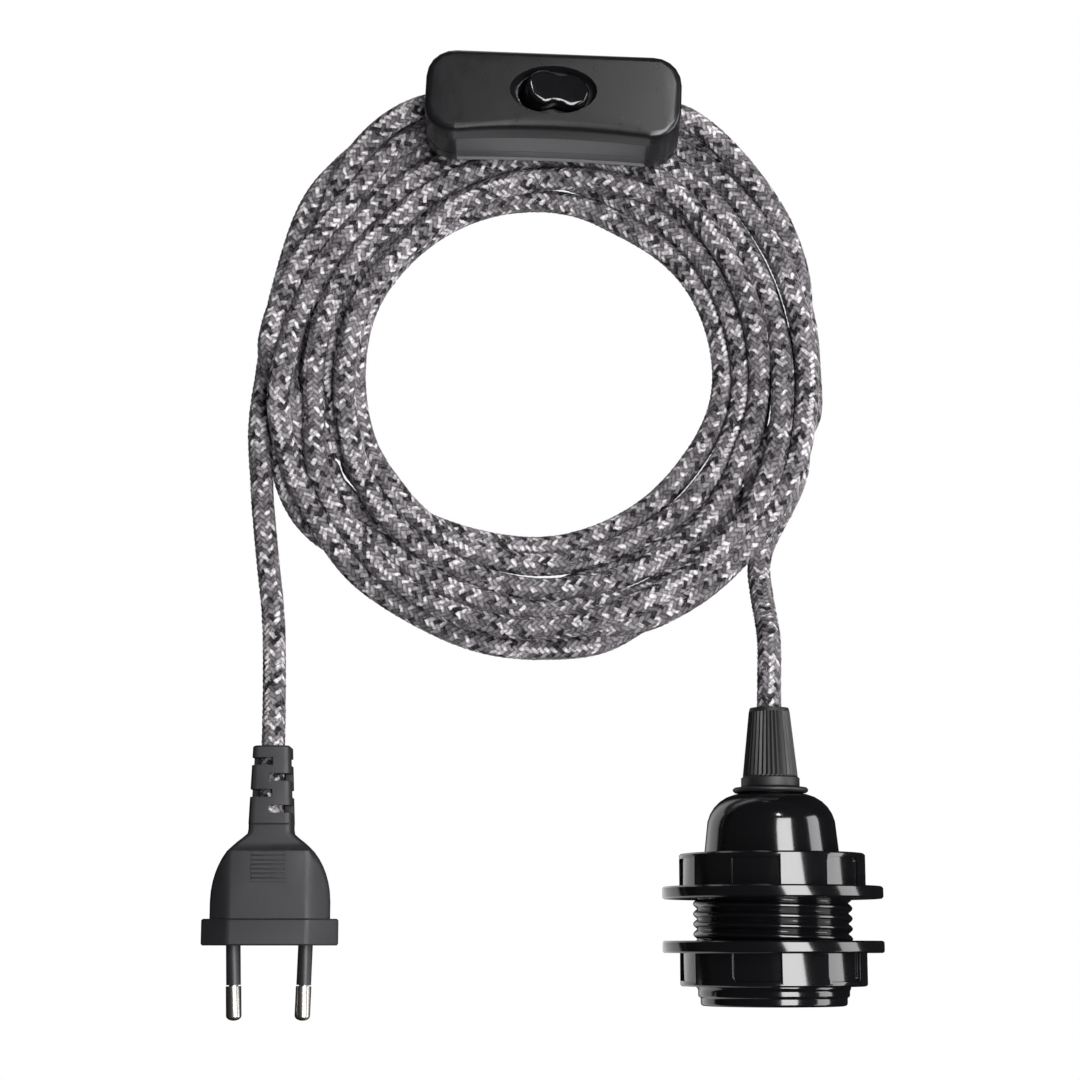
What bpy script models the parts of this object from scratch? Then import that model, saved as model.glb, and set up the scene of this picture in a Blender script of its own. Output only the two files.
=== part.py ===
"""Plug-in pendant cord set, laid flat: a lampholder with two shade rings, a coiled braided cord with
an in-line rocker switch, and a two-pin plug. Metres, +Z up. The lampholder lies on its ring flanges
with its axis along Y, and the origin is on the floor below the middle of the lampholder."""

import math

import bmesh
import bpy
from mathutils import Matrix, Vector

# Clearance between pieces that touch, how far a cutter runs past a face, and the fineness of rounds
GAP = 0.0003
OVERCUT = 0.001
ROUND_STEPS = 48
DOME_STEPS = 36
GRIP_STEPS = 24
SMALL_ROUND_STEPS = 20
PIN_STEPS = 16
HOLE_STEPS = 12
SCREW_STEPS = 8

# Cord and its cores
CORD_RADIUS = 0.0031
CORD_BORE_RADIUS = CORD_RADIUS + GAP
CORE_RADIUS = 0.0009
CORE_SPREAD = 0.0013

# Threaded sleeve: heights are measured up from the mouth
RIM_RADIUS = 0.01815
RIM_HEIGHT = 0.0024
SLEEVE_RADIUS = 0.0194
SLEEVE_LENGTH = 0.0369
SLEEVE_WALL = 0.0022
BULB_BORE_RADIUS = 0.01335
BULB_BORE_WALL = 0.0015
BULB_BORE_DEPTH = 0.0240
MOUTH_LIP = 0.0020

# Shade rings
RING_BORE_RADIUS = SLEEVE_RADIUS + 2 * GAP
FLANGE_RADIUS = 0.0275
FLANGE_THICKNESS = 0.0030
GRIP_RADIUS = 0.0232
GRIP_HEIGHT = 0.0081
GRIP_PANELS = 6
PANEL_DEPTH = 0.0007
PANEL_START_DEG = -30.6
PANEL_MARGIN = 0.0013
PANEL_CORNER = 0.0011
UPPER_RING_SEAT = 0.0262
LOWER_RING_SEAT = 0.0159

# Contact block and its metal parts
BLOCK_THICKNESS = 0.0073
CONTACT_THICKNESS = 0.0007
CONTACT_WIDTH = 0.0060
CENTRE_CONTACT_RISE = 0.00735
SIDE_CONTACT_RISE = 0.01225
SIDE_CONTACT_DROP = 0.0080
TERMINAL_SPREAD = 0.0096
SCREW_HEAD_RADIUS = 0.0021
SCREW_HEAD_HEIGHT = 0.0014
SCREW_SHANK_RADIUS = 0.00125
SCREW_LENGTH = 0.0050
DRIVER_SLOT = 0.0006

# Dome cap
DOME_RADIUS = SLEEVE_RADIUS - SLEEVE_WALL - GAP
DOME_HEIGHT = 0.0154
DOME_WALL = 0.0022
DOME_SHOULDER = 0.0090
DOME_TAPER = 0.0007
DOME_SKIRT_GRIP = 0.0029

# Cord grip
STUD_RADIUS = 0.00495
STUD_LENGTH = 0.0088
WASHER_RADIUS = 0.0095
WASHER_THICKNESS = 0.0012
SHOULDER_RADIUS = 0.0060
SHOULDER_HEIGHT = 0.0014
JAW_RADIUS = 0.0047
JAW_LENGTH = 0.0130
JAW_SLIT = 0.0008
LOCK_NUT_WIDTH = 0.0140
LOCK_NUT_THICKNESS = 0.0034
GRIP_NUT_LENGTH = 0.0198
COLLAR_RADIUS = 0.00735
COLLAR_HEIGHT = 0.0024
CONE_BASE_RADIUS = 0.0069
CONE_TOP_RADIUS = 0.0051
FLUTES = 36
FLUTE_DEPTH = 0.00035

# In-line switch: heights are measured up from its underside
SWITCH_CENTRE = (-0.0545, 0.1986)
SWITCH_TURN_DEG = -2.35
SWITCH_LEAN_DEG = -8.0
SWITCH_LENGTH = 0.0680
SWITCH_WIDTH = 0.0254
SWITCH_TO_NEAR_SIDE = 0.0013
SWITCH_HEIGHT = 0.0170
SWITCH_PARTING = 0.0050
SWITCH_CORNER = 0.0078
SWITCH_TOP_ROUNDING = 0.0012
SWITCH_WALL = 0.0018
SWITCH_FLOOR = 0.0016
WAIST_AT_PARTING = 0.0010
WAIST_AT_TOP = 0.0034
SIDE_PANEL_LENGTH = 0.0504
SIDE_PANEL_DEPTH = 0.0007
SIDE_PANEL_FOOT = 0.0014
SIDE_PANEL_TOP = 0.0122
RECESS_LENGTH = 0.0231
RECESS_WIDTH = 0.0142
RECESS_DEPTH = 0.0022
RECESS_DRAFT = 0.0007

# Rocker and the contact bridge that it tips
ROCKER_SPAN = 0.00355
ROCKER_LOBE_RADIUS = 0.0050
ROCKER_WAIST = 0.0041
ROCKER_SWING_DEG = 13.0
ROCKER_PROUD = 0.0015
ROCKER_SKIRT = 0.0026
ROCKER_PIVOT_DEPTH = 0.0044
ROCKER_END_CLEARANCE = 0.0005
ROCKER_SIDE_CLEARANCE = 0.0005
PIVOT_PIN_RADIUS = 0.0010
PIVOT_PIN_REACH = 0.0060
WELL_WALL = 0.0022
WELL_DEPTH = 0.0058
PLUNGER_RADIUS = 0.0015
PLUNGER_REACH = 0.0069
PLUNGER_LENGTH = 0.0049
PLUNGER_BORE_TOP = 0.0026
BRIDGE_PIVOT_HEIGHT = 0.0052
BRIDGE_LENGTH = 0.0130
BRIDGE_WIDTH = 0.0030
BRIDGE_THICKNESS = 0.0006
BRIDGE_RISE = 0.0004
BRIDGE_TILT_DEG = 6.6

# Terminals, cord clamps and screws in the switch
STRIP_WIDTH = 0.0040
STRIP_THICKNESS = 0.0006
TERMINAL_LENGTH = 0.0050
TERMINAL_HEIGHT = 0.0050
TERMINAL_REACH = 0.0180
WIRE_HOLE_RADIUS = CORE_RADIUS + GAP
WIRE_HEIGHT = 0.0046
NEUTRAL_OFFSET = 0.0056
NEUTRAL_LENGTH = 0.0080
CLAMP_PLACE = 0.0245
CLAMP_LENGTH = 0.0150
CLAMP_WIDTH = 0.0046
CLAMP_THICKNESS = 0.0016
CLAMP_SCREW_SPREAD = 0.0056
POST_RADIUS = 0.0020
POST_TOP = 0.0078
HOUSING_SCREW_PLACE = (0.0105, -0.0058)
HOUSING_SCREW_LENGTH = 0.0100
COUNTERBORE_DEPTH = 0.0019
CORD_END_IN_SWITCH = 0.0205

# Plug: lengths are measured from its face towards the cord
PLUG_CENTRE_X = -0.1277
PLUG_FACE_Y = -0.0222
PLUG_WIDTH = 0.0353
PLUG_THICKNESS = 0.0137
PLUG_FLANGE_LENGTH = 0.0068
PLUG_BODY_WIDTH = 0.0308
PLUG_BODY_THICKNESS = 0.0124
PLUG_PANEL_WIDTH = 0.0205
PLUG_SHOULDER_START = 0.0110
PLUG_SHOULDER_LENGTH = 0.0183
PLUG_LEDGE = 0.0240
PLUG_LEDGE_SLOPE = 0.0013
PLUG_NECK_THICKNESS = 0.0100
PLUG_NECK_END = 0.0312
RELIEF_LENGTH = 0.0200
RELIEF_BASE_WIDTH = 0.0113
RELIEF_TIP_WIDTH = 0.0097
RELIEF_THICKNESS = 0.0098
RELIEF_SLOT_WIDTH = 0.0020
RELIEF_SLOT_PITCH = 0.0041
RELIEF_FIRST_SLOT = 0.0036
RELIEF_SLOT_PAST_MIDDLE = 0.0005
RELIEF_SLOT_PAST_CENTRE_PLANE = 0.0010
PAD_WIDTH = 0.0088
PAD_RIBS = 7
PAD_RIB_PITCH = 0.00115
PAD_PROUD = 0.0003
PIN_SPACING = 0.0186
PIN_TILT_DEG = 1.66
PIN_LENGTH = 0.0190
PIN_RADIUS = 0.0020
PIN_CORE_RADIUS = 0.0012
PIN_SLEEVE_LENGTH = 0.0100
PIN_SLEEVE_WALL = 0.0004
PIN_SLEEVE_IN_BODY = 0.0018
PIN_CORE_IN_BODY = 0.0060

# Coil of cord
COIL_CENTRE = (-0.0578, 0.1300)
COIL_INNER_RADIUS = 0.0460
COIL_OUTER_RADIUS = 0.0745
COIL_HEIGHT = 0.0115
COIL_ROUNDING = 0.0031

# Cord leads, as points (x, y, z) of the route in metres
HOLDER_LEAD_ROUTE = (
    (0.0002, 0.0440, 0.0268),
    (0.0006, 0.0504, 0.0242),
    (0.0010, 0.0565, 0.0190),
    (0.0011, 0.0594, 0.0153),
    (0.0010, 0.0623, 0.0115),
    (0.0007, 0.0683, 0.0064),
    (0.0002, 0.0745, 0.0038),
    (-0.0005, 0.0788, 0.0032),
)
PLUG_LEAD_ROUTE = (
    (-0.1340, 0.1125, 0.0032),
    (-0.1330, 0.1045, 0.0032),
    (-0.1321, 0.0960, 0.0032),
    (-0.1305, 0.0791, 0.0032),
    (-0.1287, 0.0629, 0.0034),
    (-0.1279, 0.0450, 0.0058),
)
RIGHT_LEAD_ROUTE = (
    (-0.0125, 0.1952, 0.0173),
    (-0.0040, 0.1908, 0.0160),
    (0.0025, 0.1828, 0.0151),
    (0.0056, 0.1725, 0.0149),
    (0.0060, 0.1610, 0.0149),
)
LEFT_LEAD_ROUTE = (
    (-0.0955, 0.1970, 0.0173),
    (-0.1040, 0.1928, 0.0160),
    (-0.1120, 0.1850, 0.0151),
    (-0.1175, 0.1750, 0.0149),
    (-0.1202, 0.1640, 0.0149),
)

# Heights that follow from the stack, up the lampholder from its mouth
BLOCK_BOTTOM = BULB_BORE_DEPTH + GAP
BLOCK_TOP = BLOCK_BOTTOM + BLOCK_THICKNESS
FOOT_BOTTOM = BLOCK_TOP + GAP
DOME_LEDGE = BLOCK_TOP + GAP
DOME_TOP = SLEEVE_LENGTH + DOME_HEIGHT
WASHER_BOTTOM = DOME_TOP + GAP
SHOULDER_BOTTOM = WASHER_BOTTOM + WASHER_THICKNESS + GAP
GRIP_NUT_TOP = SHOULDER_BOTTOM + GRIP_NUT_LENGTH
HOLDER_LENGTH = GRIP_NUT_TOP
STUD_BOTTOM = SHOULDER_BOTTOM - STUD_LENGTH
CORD_END_IN_HOLDER = STUD_BOTTOM + 0.0020
BLOCK_RADIUS = DOME_RADIUS - DOME_WALL - GAP
MOUTH_Y = -HOLDER_LENGTH / 2

PIVOT_HEIGHT = SWITCH_HEIGHT - ROCKER_PIVOT_DEPTH
WELL_BOTTOM = SWITCH_HEIGHT - WELL_DEPTH
RECESS_FLOOR = SWITCH_HEIGHT - RECESS_DEPTH
PLUG_LENGTH = PLUG_NECK_END + RELIEF_LENGTH

PARTS = bpy.data.collections.new("pendant_cord_set")
CUTTERS = bpy.data.collections.new("cutters")


def clear_scene():
    for thing in list(bpy.data.objects):
        bpy.data.objects.remove(thing, do_unlink=True)
    bpy.context.scene.collection.children.link(PARTS)
    bpy.context.scene.collection.children.link(CUTTERS)


def finish(name, colour, roughness, metallic=0.0):
    """A Principled material of one colour."""
    material = bpy.data.materials.new(name)
    material.use_nodes = True
    shader = material.node_tree.nodes["Principled BSDF"]
    shader.inputs["Base Color"].default_value = (*colour, 1.0)
    shader.inputs["Roughness"].default_value = roughness
    shader.inputs["Metallic"].default_value = metallic
    return material


def seat(name, place, turn=None, parent=None):
    """An empty that carries a group of pieces."""
    empty = bpy.data.objects.new(name, None)
    empty.location = place
    if turn is not None:
        empty.rotation_euler = turn.to_euler()
    empty.parent = parent
    PARTS.objects.link(empty)
    return empty


def add_piece(name, data, material, parent):
    piece = bpy.data.objects.new(name, data)
    data.materials.append(material)
    piece.parent = parent
    PARTS.objects.link(piece)
    if piece.type == "MESH":
        data.shade_smooth()
        data.set_sharp_from_angle(angle=math.radians(35))
    return piece


def as_cutter(piece):
    """Turns a piece into a shape that only cuts or joins others."""
    PARTS.objects.unlink(piece)
    CUTTERS.objects.link(piece)
    piece.hide_render = True
    piece.display_type = "WIRE"
    return piece


def combine(piece, others, operation="DIFFERENCE"):
    for other in others:
        modifier = piece.modifiers.new(f"{operation.lower()} {other.name}", "BOOLEAN")
        modifier.operation = operation
        modifier.solver = "EXACT"
        modifier.object = other


def mesh_from(shape, name):
    mesh = bpy.data.meshes.new(name)
    shape.to_mesh(mesh)
    shape.free()
    return mesh


def turned(name, profile, material, parent, closed=False, steps=ROUND_STEPS):
    """A profile of (radius, height) points turned about the seat's Z axis. An open profile starts
    and ends on the axis, and a closed one is the section of a ring. Both run down the outer side."""
    count = len(profile)
    edges = [(i, i + 1) for i in range(count - 1)]
    if closed:
        edges.append((count - 1, 0))
    mesh = bpy.data.meshes.new(name)
    mesh.from_pydata([(radius, 0.0, height) for radius, height in profile], edges, [])
    piece = add_piece(name, mesh, material, parent)
    screw = piece.modifiers.new("turn", "SCREW")
    screw.angle = 2 * math.pi
    screw.steps = screw.render_steps = steps
    screw.use_merge_vertices = True
    screw.merge_threshold = 0.00001
    return piece


def box(name, low, high, material, parent):
    shape = bmesh.new()
    bmesh.ops.create_cube(shape, size=1.0)
    size = [b - a for a, b in zip(low, high)]
    middle = [(a + b) / 2 for a, b in zip(low, high)]
    bmesh.ops.scale(shape, vec=size, verts=shape.verts)
    bmesh.ops.translate(shape, vec=middle, verts=shape.verts)
    return add_piece(name, mesh_from(shape, name), material, parent)


def rod(name, radius, start, end, material, parent, steps=SMALL_ROUND_STEPS):
    """A cylinder from one point to another."""
    start, end = Vector(start), Vector(end)
    shape = bmesh.new()
    bmesh.ops.create_cone(
        shape, cap_ends=True, segments=steps, radius1=radius, radius2=radius,
        depth=(end - start).length,
    )
    turn = Vector((0, 0, 1)).rotation_difference(end - start).to_matrix().to_4x4()
    matrix = Matrix.Translation((start + end) / 2) @ turn
    bmesh.ops.transform(shape, matrix=matrix, verts=shape.verts)
    return add_piece(name, mesh_from(shape, name), material, parent)


def loft(name, sections, material, parent):
    """A solid through closed loops of equal length, each seen anticlockwise from the far end."""
    shape = bmesh.new()
    loops = [[shape.verts.new(point) for point in section] for section in sections]
    for low, high in zip(loops, loops[1:]):
        for i in range(len(low)):
            j = (i + 1) % len(low)
            shape.faces.new((low[i], low[j], high[j], high[i]))
    shape.faces.new(reversed(loops[0]))
    shape.faces.new(loops[-1])
    return add_piece(name, mesh_from(shape, name), material, parent)


def flat_plate(name, outline, half_thickness, material, parent, turn):
    """A flat outline drawn as a curve, thickened both ways and turned to lie as the seat needs."""
    curve = bpy.data.curves.new(name, "CURVE")
    curve.dimensions = "2D"
    curve.fill_mode = "BOTH"
    curve.extrude = half_thickness
    spline = curve.splines.new("POLY")
    spline.points.add(len(outline) - 1)
    for point, (across, along) in zip(spline.points, outline):
        point.co = (across, along, 0.0, 1.0)
    spline.use_cyclic_u = True
    drawn = bpy.data.objects.new(name + "_outline", curve)
    PARTS.objects.link(drawn)
    bpy.context.view_layer.update()
    mesh = bpy.data.meshes.new_from_object(drawn.evaluated_get(bpy.context.evaluated_depsgraph_get()))
    bpy.data.objects.remove(drawn)
    shape = bmesh.new()
    shape.from_mesh(mesh)
    bmesh.ops.remove_doubles(shape, verts=shape.verts, dist=0.000001)
    bmesh.ops.transform(shape, matrix=turn, verts=shape.verts)
    return add_piece(name, mesh_from(shape, name), material, parent)


def smooth_route(points, spacing):
    """Points read at even steps from a smooth curve through the given ones."""
    points = [Vector(p) for p in points]
    padded = [2 * points[0] - points[1], *points, 2 * points[-1] - points[-2]]
    route = [points[0]]
    for before, start, end, after in zip(padded, padded[1:], padded[2:], padded[3:]):
        steps = max(1, round((end - start).length / spacing))
        for i in range(1, steps + 1):
            t = i / steps
            route.append(
                0.5 * (2 * start + (end - before) * t
                       + (2 * before - 5 * start + 4 * end - after) * t ** 2
                       + (3 * start - before - 3 * end + after) * t ** 3)
            )
    return route


def tube(name, points, radius, material, parent, spacing, resolution=2):
    """A cord or wire along a smooth curve through the points, with closed ends."""
    curve = bpy.data.curves.new(name, "CURVE")
    curve.dimensions = "3D"
    curve.bevel_depth = radius
    curve.bevel_resolution = resolution
    curve.use_fill_caps = True
    route = smooth_route(points, spacing)
    spline = curve.splines.new("POLY")
    spline.points.add(len(route) - 1)
    for point, place in zip(spline.points, route):
        point.co = (*place, 1.0)
    return add_piece(name, curve, material, parent)


def bent_strip(corners, thickness):
    """The outline of a strip of even thickness whose middle line runs through the corners."""
    points = [Vector(c) for c in corners]
    directions = [(b - a).normalized() for a, b in zip(points, points[1:])]
    one_side, other_side = [], []
    for i, point in enumerate(points):
        before = directions[max(i - 1, 0)]
        after = directions[min(i, len(directions) - 1)]
        across = Vector((-before.y - after.y, before.x + after.x)).normalized()
        reach = thickness / 2 / across.dot(Vector((-after.y, after.x)))
        one_side.append(point + across * reach)
        other_side.append(point - across * reach)
    return [tuple(p) for p in one_side + other_side[::-1]]


STAND_UP = Matrix.Rotation(math.pi / 2, 4, "X")


def arc(centre, radius, start_deg, end_deg, steps):
    """Points of an arc in a plane, both ends included."""
    angles = [math.radians(start_deg + (end_deg - start_deg) * i / steps) for i in range(steps + 1)]
    return [(centre[0] + radius * math.cos(a), centre[1] + radius * math.sin(a)) for a in angles]


def make_sleeve(holder, plastic):
    """One moulding: the outer wall that carries the thread, and the bulb's bore inside it."""
    outer_inside = SLEEVE_RADIUS - SLEEVE_WALL
    bore_outside = BULB_BORE_RADIUS + BULB_BORE_WALL
    profile = [
        (SLEEVE_RADIUS, SLEEVE_LENGTH),
        (SLEEVE_RADIUS, RIM_HEIGHT),
        (RIM_RADIUS, RIM_HEIGHT - 0.0004),
        (RIM_RADIUS, 0.0005),
        (RIM_RADIUS - 0.0005, 0.0),
        (BULB_BORE_RADIUS + 0.0006, 0.0),
        (BULB_BORE_RADIUS, 0.0006),
        (BULB_BORE_RADIUS, BULB_BORE_DEPTH),
        (bore_outside, BULB_BORE_DEPTH),
        (bore_outside, MOUTH_LIP),
        (min(outer_inside, RIM_RADIUS - 0.0015), MOUTH_LIP),
        (outer_inside, RIM_HEIGHT + 0.0015),
        (outer_inside, SLEEVE_LENGTH),
    ]
    return turned("threaded_sleeve", profile, plastic, holder, closed=True, steps=DOME_STEPS)


def make_panel_cutter(name, holder, material, closed_end, open_end):
    """Six wedges that sink every other panel of a grip band, with round corners at the closed end."""
    step_deg = 180 / GRIP_PANELS
    inner, outer = GRIP_RADIUS - PANEL_DEPTH, GRIP_RADIUS + PANEL_DEPTH
    shape = bmesh.new()
    for panel in range(GRIP_PANELS):
        wedge = bmesh.new()
        corners = [(inner, closed_end), (outer, closed_end), (outer, open_end), (inner, open_end)]
        face = wedge.faces.new([wedge.verts.new((r, 0, h)) for r, h in corners])
        bmesh.ops.spin(
            wedge, geom=[face, *face.edges, *face.verts], axis=(0, 0, 1), cent=(0, 0, 0),
            angle=math.radians(step_deg), steps=5,
        )
        ends = [
            edge for edge in wedge.edges
            if all(abs(v.co.z - closed_end) < 1e-7 for v in edge.verts)
            and abs(edge.calc_length() - 2 * PANEL_DEPTH) < 1e-6
            and is_end_edge(edge, step_deg)
        ]
        bmesh.ops.bevel(
            wedge, geom=ends, offset=PANEL_CORNER, offset_type="OFFSET", segments=3,
            profile=0.5, affect="EDGES", material=-1,
        )
        turn_deg = PANEL_START_DEG - 90 + 2 * step_deg * panel
        bmesh.ops.rotate(
            wedge, cent=(0, 0, 0), verts=wedge.verts,
            matrix=Matrix.Rotation(math.radians(turn_deg), 3, "Z"),
        )
        bmesh.ops.recalc_face_normals(wedge, faces=wedge.faces)
        part = mesh_from(wedge, "wedge")
        shape.from_mesh(part)
        bpy.data.meshes.remove(part)
    return as_cutter(add_piece(name, mesh_from(shape, name), material, holder))


def is_end_edge(edge, sweep_deg):
    """Whether an edge of a swept wedge lies in its first or last face."""
    angles = [math.degrees(math.atan2(v.co.y, v.co.x)) for v in edge.verts]
    return all(abs(a) < 0.01 for a in angles) or all(abs(a - sweep_deg) < 0.01 for a in angles)


def make_shade_ring(name, holder, seat_height, up, plastic):
    """A threaded ring with a flange, which bears on the shade, and a panelled band to turn it by.
    up is 1 where the grip band lies above the flange, and -1 where it lies below."""
    edge = 0.0004
    section = [
        (RING_BORE_RADIUS, FLANGE_THICKNESS + GRIP_HEIGHT),
        (GRIP_RADIUS - edge, FLANGE_THICKNESS + GRIP_HEIGHT),
        (GRIP_RADIUS, FLANGE_THICKNESS + GRIP_HEIGHT - edge),
        (GRIP_RADIUS, FLANGE_THICKNESS),
        (FLANGE_RADIUS - edge, FLANGE_THICKNESS),
        (FLANGE_RADIUS, FLANGE_THICKNESS - edge),
        (FLANGE_RADIUS, edge),
        (FLANGE_RADIUS - edge, 0.0),
        (RING_BORE_RADIUS, 0.0),
    ]
    profile = [(radius, seat_height + up * height) for radius, height in section]
    if up < 0:
        profile.reverse()
    ring = turned(name, profile, plastic, holder, closed=True)
    closed_end = seat_height + up * (FLANGE_THICKNESS + GRIP_HEIGHT - PANEL_MARGIN)
    open_end = seat_height + up * FLANGE_THICKNESS
    combine(ring, [make_panel_cutter(name + "_panels", holder, plastic, closed_end, open_end)])
    return ring


def make_contact_block(holder, ceramic, brass, steel):
    """The insulating block behind the bulb, its two contacts, their screws and the screws' holes."""
    block = turned("contact_block", [
        (0.0, BLOCK_TOP), (BLOCK_RADIUS - 0.0004, BLOCK_TOP), (BLOCK_RADIUS, BLOCK_TOP - 0.0004),
        (BLOCK_RADIUS, BLOCK_BOTTOM), (0.0, BLOCK_BOTTOM),
    ], ceramic, holder, steps=DOME_STEPS)
    reach = CONTACT_THICKNESS / 2 + GAP
    half_width = CONTACT_WIDTH / 2
    foot_middle = FOOT_BOTTOM + CONTACT_THICKNESS / 2
    for rise, tag in ((CENTRE_CONTACT_RISE, "centre"), (-SIDE_CONTACT_RISE, "side")):
        slot = box(
            tag + "_contact_slot",
            (rise - reach, -half_width - GAP, BLOCK_BOTTOM - OVERCUT),
            (rise + reach, half_width + GAP, BLOCK_TOP + OVERCUT), ceramic, holder,
        )
        combine(block, [as_cutter(slot)])
    dip = BLOCK_BOTTOM - 0.0003
    centre_line = [
        (-0.0040, dip - 0.0012), (-0.0015, dip - 0.0022), (0.0012, dip - 0.0022),
        (0.0040, dip - 0.0008), (0.0058, dip - CONTACT_THICKNESS / 2),
        (CENTRE_CONTACT_RISE, dip - CONTACT_THICKNESS / 2),
        (CENTRE_CONTACT_RISE, foot_middle), (TERMINAL_SPREAD + 0.0024, foot_middle),
    ]
    side_foot = -TERMINAL_SPREAD + 0.0024
    side_line = [
        (-SIDE_CONTACT_RISE, BLOCK_BOTTOM - SIDE_CONTACT_DROP),
        (-SIDE_CONTACT_RISE + 0.0010, BLOCK_BOTTOM - SIDE_CONTACT_DROP + 0.0028),
        (-SIDE_CONTACT_RISE, BLOCK_BOTTOM - 0.0020),
        (-SIDE_CONTACT_RISE, foot_middle), (side_foot, foot_middle),
    ]
    for tag, line, sign in (("centre", centre_line, 1), ("side", side_line, -1)):
        contact = flat_plate(
            tag + "_contact", bent_strip(line, CONTACT_THICKNESS), half_width, brass, holder, STAND_UP,
        )
        place = (sign * TERMINAL_SPREAD, 0.0, FOOT_BOTTOM + CONTACT_THICKNESS + GAP)
        tip = place[2] - SCREW_LENGTH - GAP
        hole = rod(
            tag + "_screw_hole", SCREW_SHANK_RADIUS + GAP, (place[0], 0, tip),
            (place[0], 0, place[2] + OVERCUT), brass, holder,
        )
        as_cutter(hole)
        combine(contact, [hole])
        combine(block, [hole])
        make_screw(f"holder_terminal_screw_{1 if sign > 0 else 2}", place, SCREW_LENGTH, steel, holder)


def make_screw(name, under_head, length, steel, parent, up=1):
    """A cheese-head screw whose head bears at a point and whose shank runs away from the head."""
    head_top = SCREW_HEAD_HEIGHT
    screw = turned(name, [
        (0.0, head_top), (SCREW_HEAD_RADIUS - 0.0003, head_top), (SCREW_HEAD_RADIUS, head_top - 0.0003),
        (SCREW_HEAD_RADIUS, 0.0), (SCREW_SHANK_RADIUS, 0.0), (SCREW_SHANK_RADIUS, -length + 0.0004),
        (SCREW_SHANK_RADIUS - 0.0004, -length), (0.0, -length),
    ], steel, parent, steps=SCREW_STEPS)
    screw.location = under_head
    if up < 0:
        screw.rotation_euler = (math.pi, 0.0, 0.0)
    return screw


def make_dome(holder, plastic):
    """The domed cap: a skirt that screws into the sleeve, a ledge on the contact block, and a round
    shoulder up to the flat seat of the cord grip."""
    top_radius = DOME_RADIUS - DOME_TAPER
    outer_centre = (top_radius - DOME_SHOULDER, DOME_TOP - DOME_SHOULDER)
    inner_shoulder = DOME_SHOULDER - DOME_WALL
    skirt_inside = BLOCK_RADIUS + GAP
    upper_inside = top_radius - DOME_WALL
    bottom = DOME_LEDGE - DOME_SKIRT_GRIP
    hole = STUD_RADIUS + GAP
    ledge_inside = skirt_inside - 0.0009
    outer = [(hole, DOME_TOP), *reversed(arc(outer_centre, DOME_SHOULDER, 0, 90, 7))]
    inner = arc(outer_centre, inner_shoulder, 0, 90, 3)
    profile = [
        *outer, (DOME_RADIUS, SLEEVE_LENGTH), (DOME_RADIUS, bottom), (skirt_inside, bottom),
        (skirt_inside, DOME_LEDGE), (ledge_inside, DOME_LEDGE), (upper_inside, DOME_LEDGE + 0.0015),
        *inner, (hole, DOME_TOP - DOME_WALL),
    ]
    return turned("dome_cap", profile, plastic, holder, closed=True, steps=DOME_STEPS)


def make_cord_grip(holder, plastic, steel):
    """Washer, slit collet with a hollow stud, lock nut, and the fluted nut that closes the jaws."""
    turned("cord_grip_washer", [
        (STUD_RADIUS + GAP, WASHER_BOTTOM + WASHER_THICKNESS),
        (WASHER_RADIUS - 0.0004, WASHER_BOTTOM + WASHER_THICKNESS),
        (WASHER_RADIUS, WASHER_BOTTOM + WASHER_THICKNESS - 0.0004),
        (WASHER_RADIUS, WASHER_BOTTOM + 0.0004), (WASHER_RADIUS - 0.0004, WASHER_BOTTOM),
        (STUD_RADIUS + GAP, WASHER_BOTTOM),
    ], plastic, holder, closed=True, steps=GRIP_STEPS)
    jaw_bottom = SHOULDER_BOTTOM + SHOULDER_HEIGHT
    jaw_top = jaw_bottom + JAW_LENGTH
    collet = turned("cord_grip_collet", [
        (CORD_BORE_RADIUS, jaw_top), (JAW_RADIUS - 0.00075, jaw_top), (JAW_RADIUS, jaw_top - 0.0025),
        (JAW_RADIUS, jaw_bottom), (SHOULDER_RADIUS, jaw_bottom), (SHOULDER_RADIUS, SHOULDER_BOTTOM),
        (STUD_RADIUS, SHOULDER_BOTTOM), (STUD_RADIUS, STUD_BOTTOM), (CORD_BORE_RADIUS, STUD_BOTTOM),
    ], plastic, holder, closed=True, steps=GRIP_STEPS)
    reach = 2 * JAW_RADIUS
    slit_bottom = jaw_bottom + 0.0030
    for turn, (x, y) in enumerate(((reach, JAW_SLIT / 2), (JAW_SLIT / 2, reach))):
        slit = box(
            f"jaw_slit_{turn + 1}", (-x, -y, slit_bottom), (x, y, jaw_top + JAW_SLIT), plastic, holder,
        )
        combine(collet, [as_cutter(slit)])
    nut_top = DOME_TOP - DOME_WALL - GAP
    nut = rod(
        "grip_lock_nut", LOCK_NUT_WIDTH / math.sqrt(3), (0, 0, nut_top - LOCK_NUT_THICKNESS),
        (0, 0, nut_top), steel, holder, steps=6,
    )
    nut_bore = rod(
        "lock_nut_bore", STUD_RADIUS + GAP, (0, 0, nut_top - 2 * LOCK_NUT_THICKNESS),
        (0, 0, nut_top + LOCK_NUT_THICKNESS), steel, holder, steps=GRIP_STEPS,
    )
    combine(nut, [as_cutter(nut_bore)])
    make_grip_nut(holder, jaw_bottom, jaw_top, plastic)


def fluted_loop(radius, depth, height):
    """A circle whose points step in and out by the depth of a flute."""
    count = 2 * FLUTES
    loop = []
    for i in range(count):
        angle = 2 * math.pi * i / count
        reach = radius - depth * (i % 2)
        loop.append((reach * math.cos(angle), reach * math.sin(angle), height))
    return loop


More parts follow.
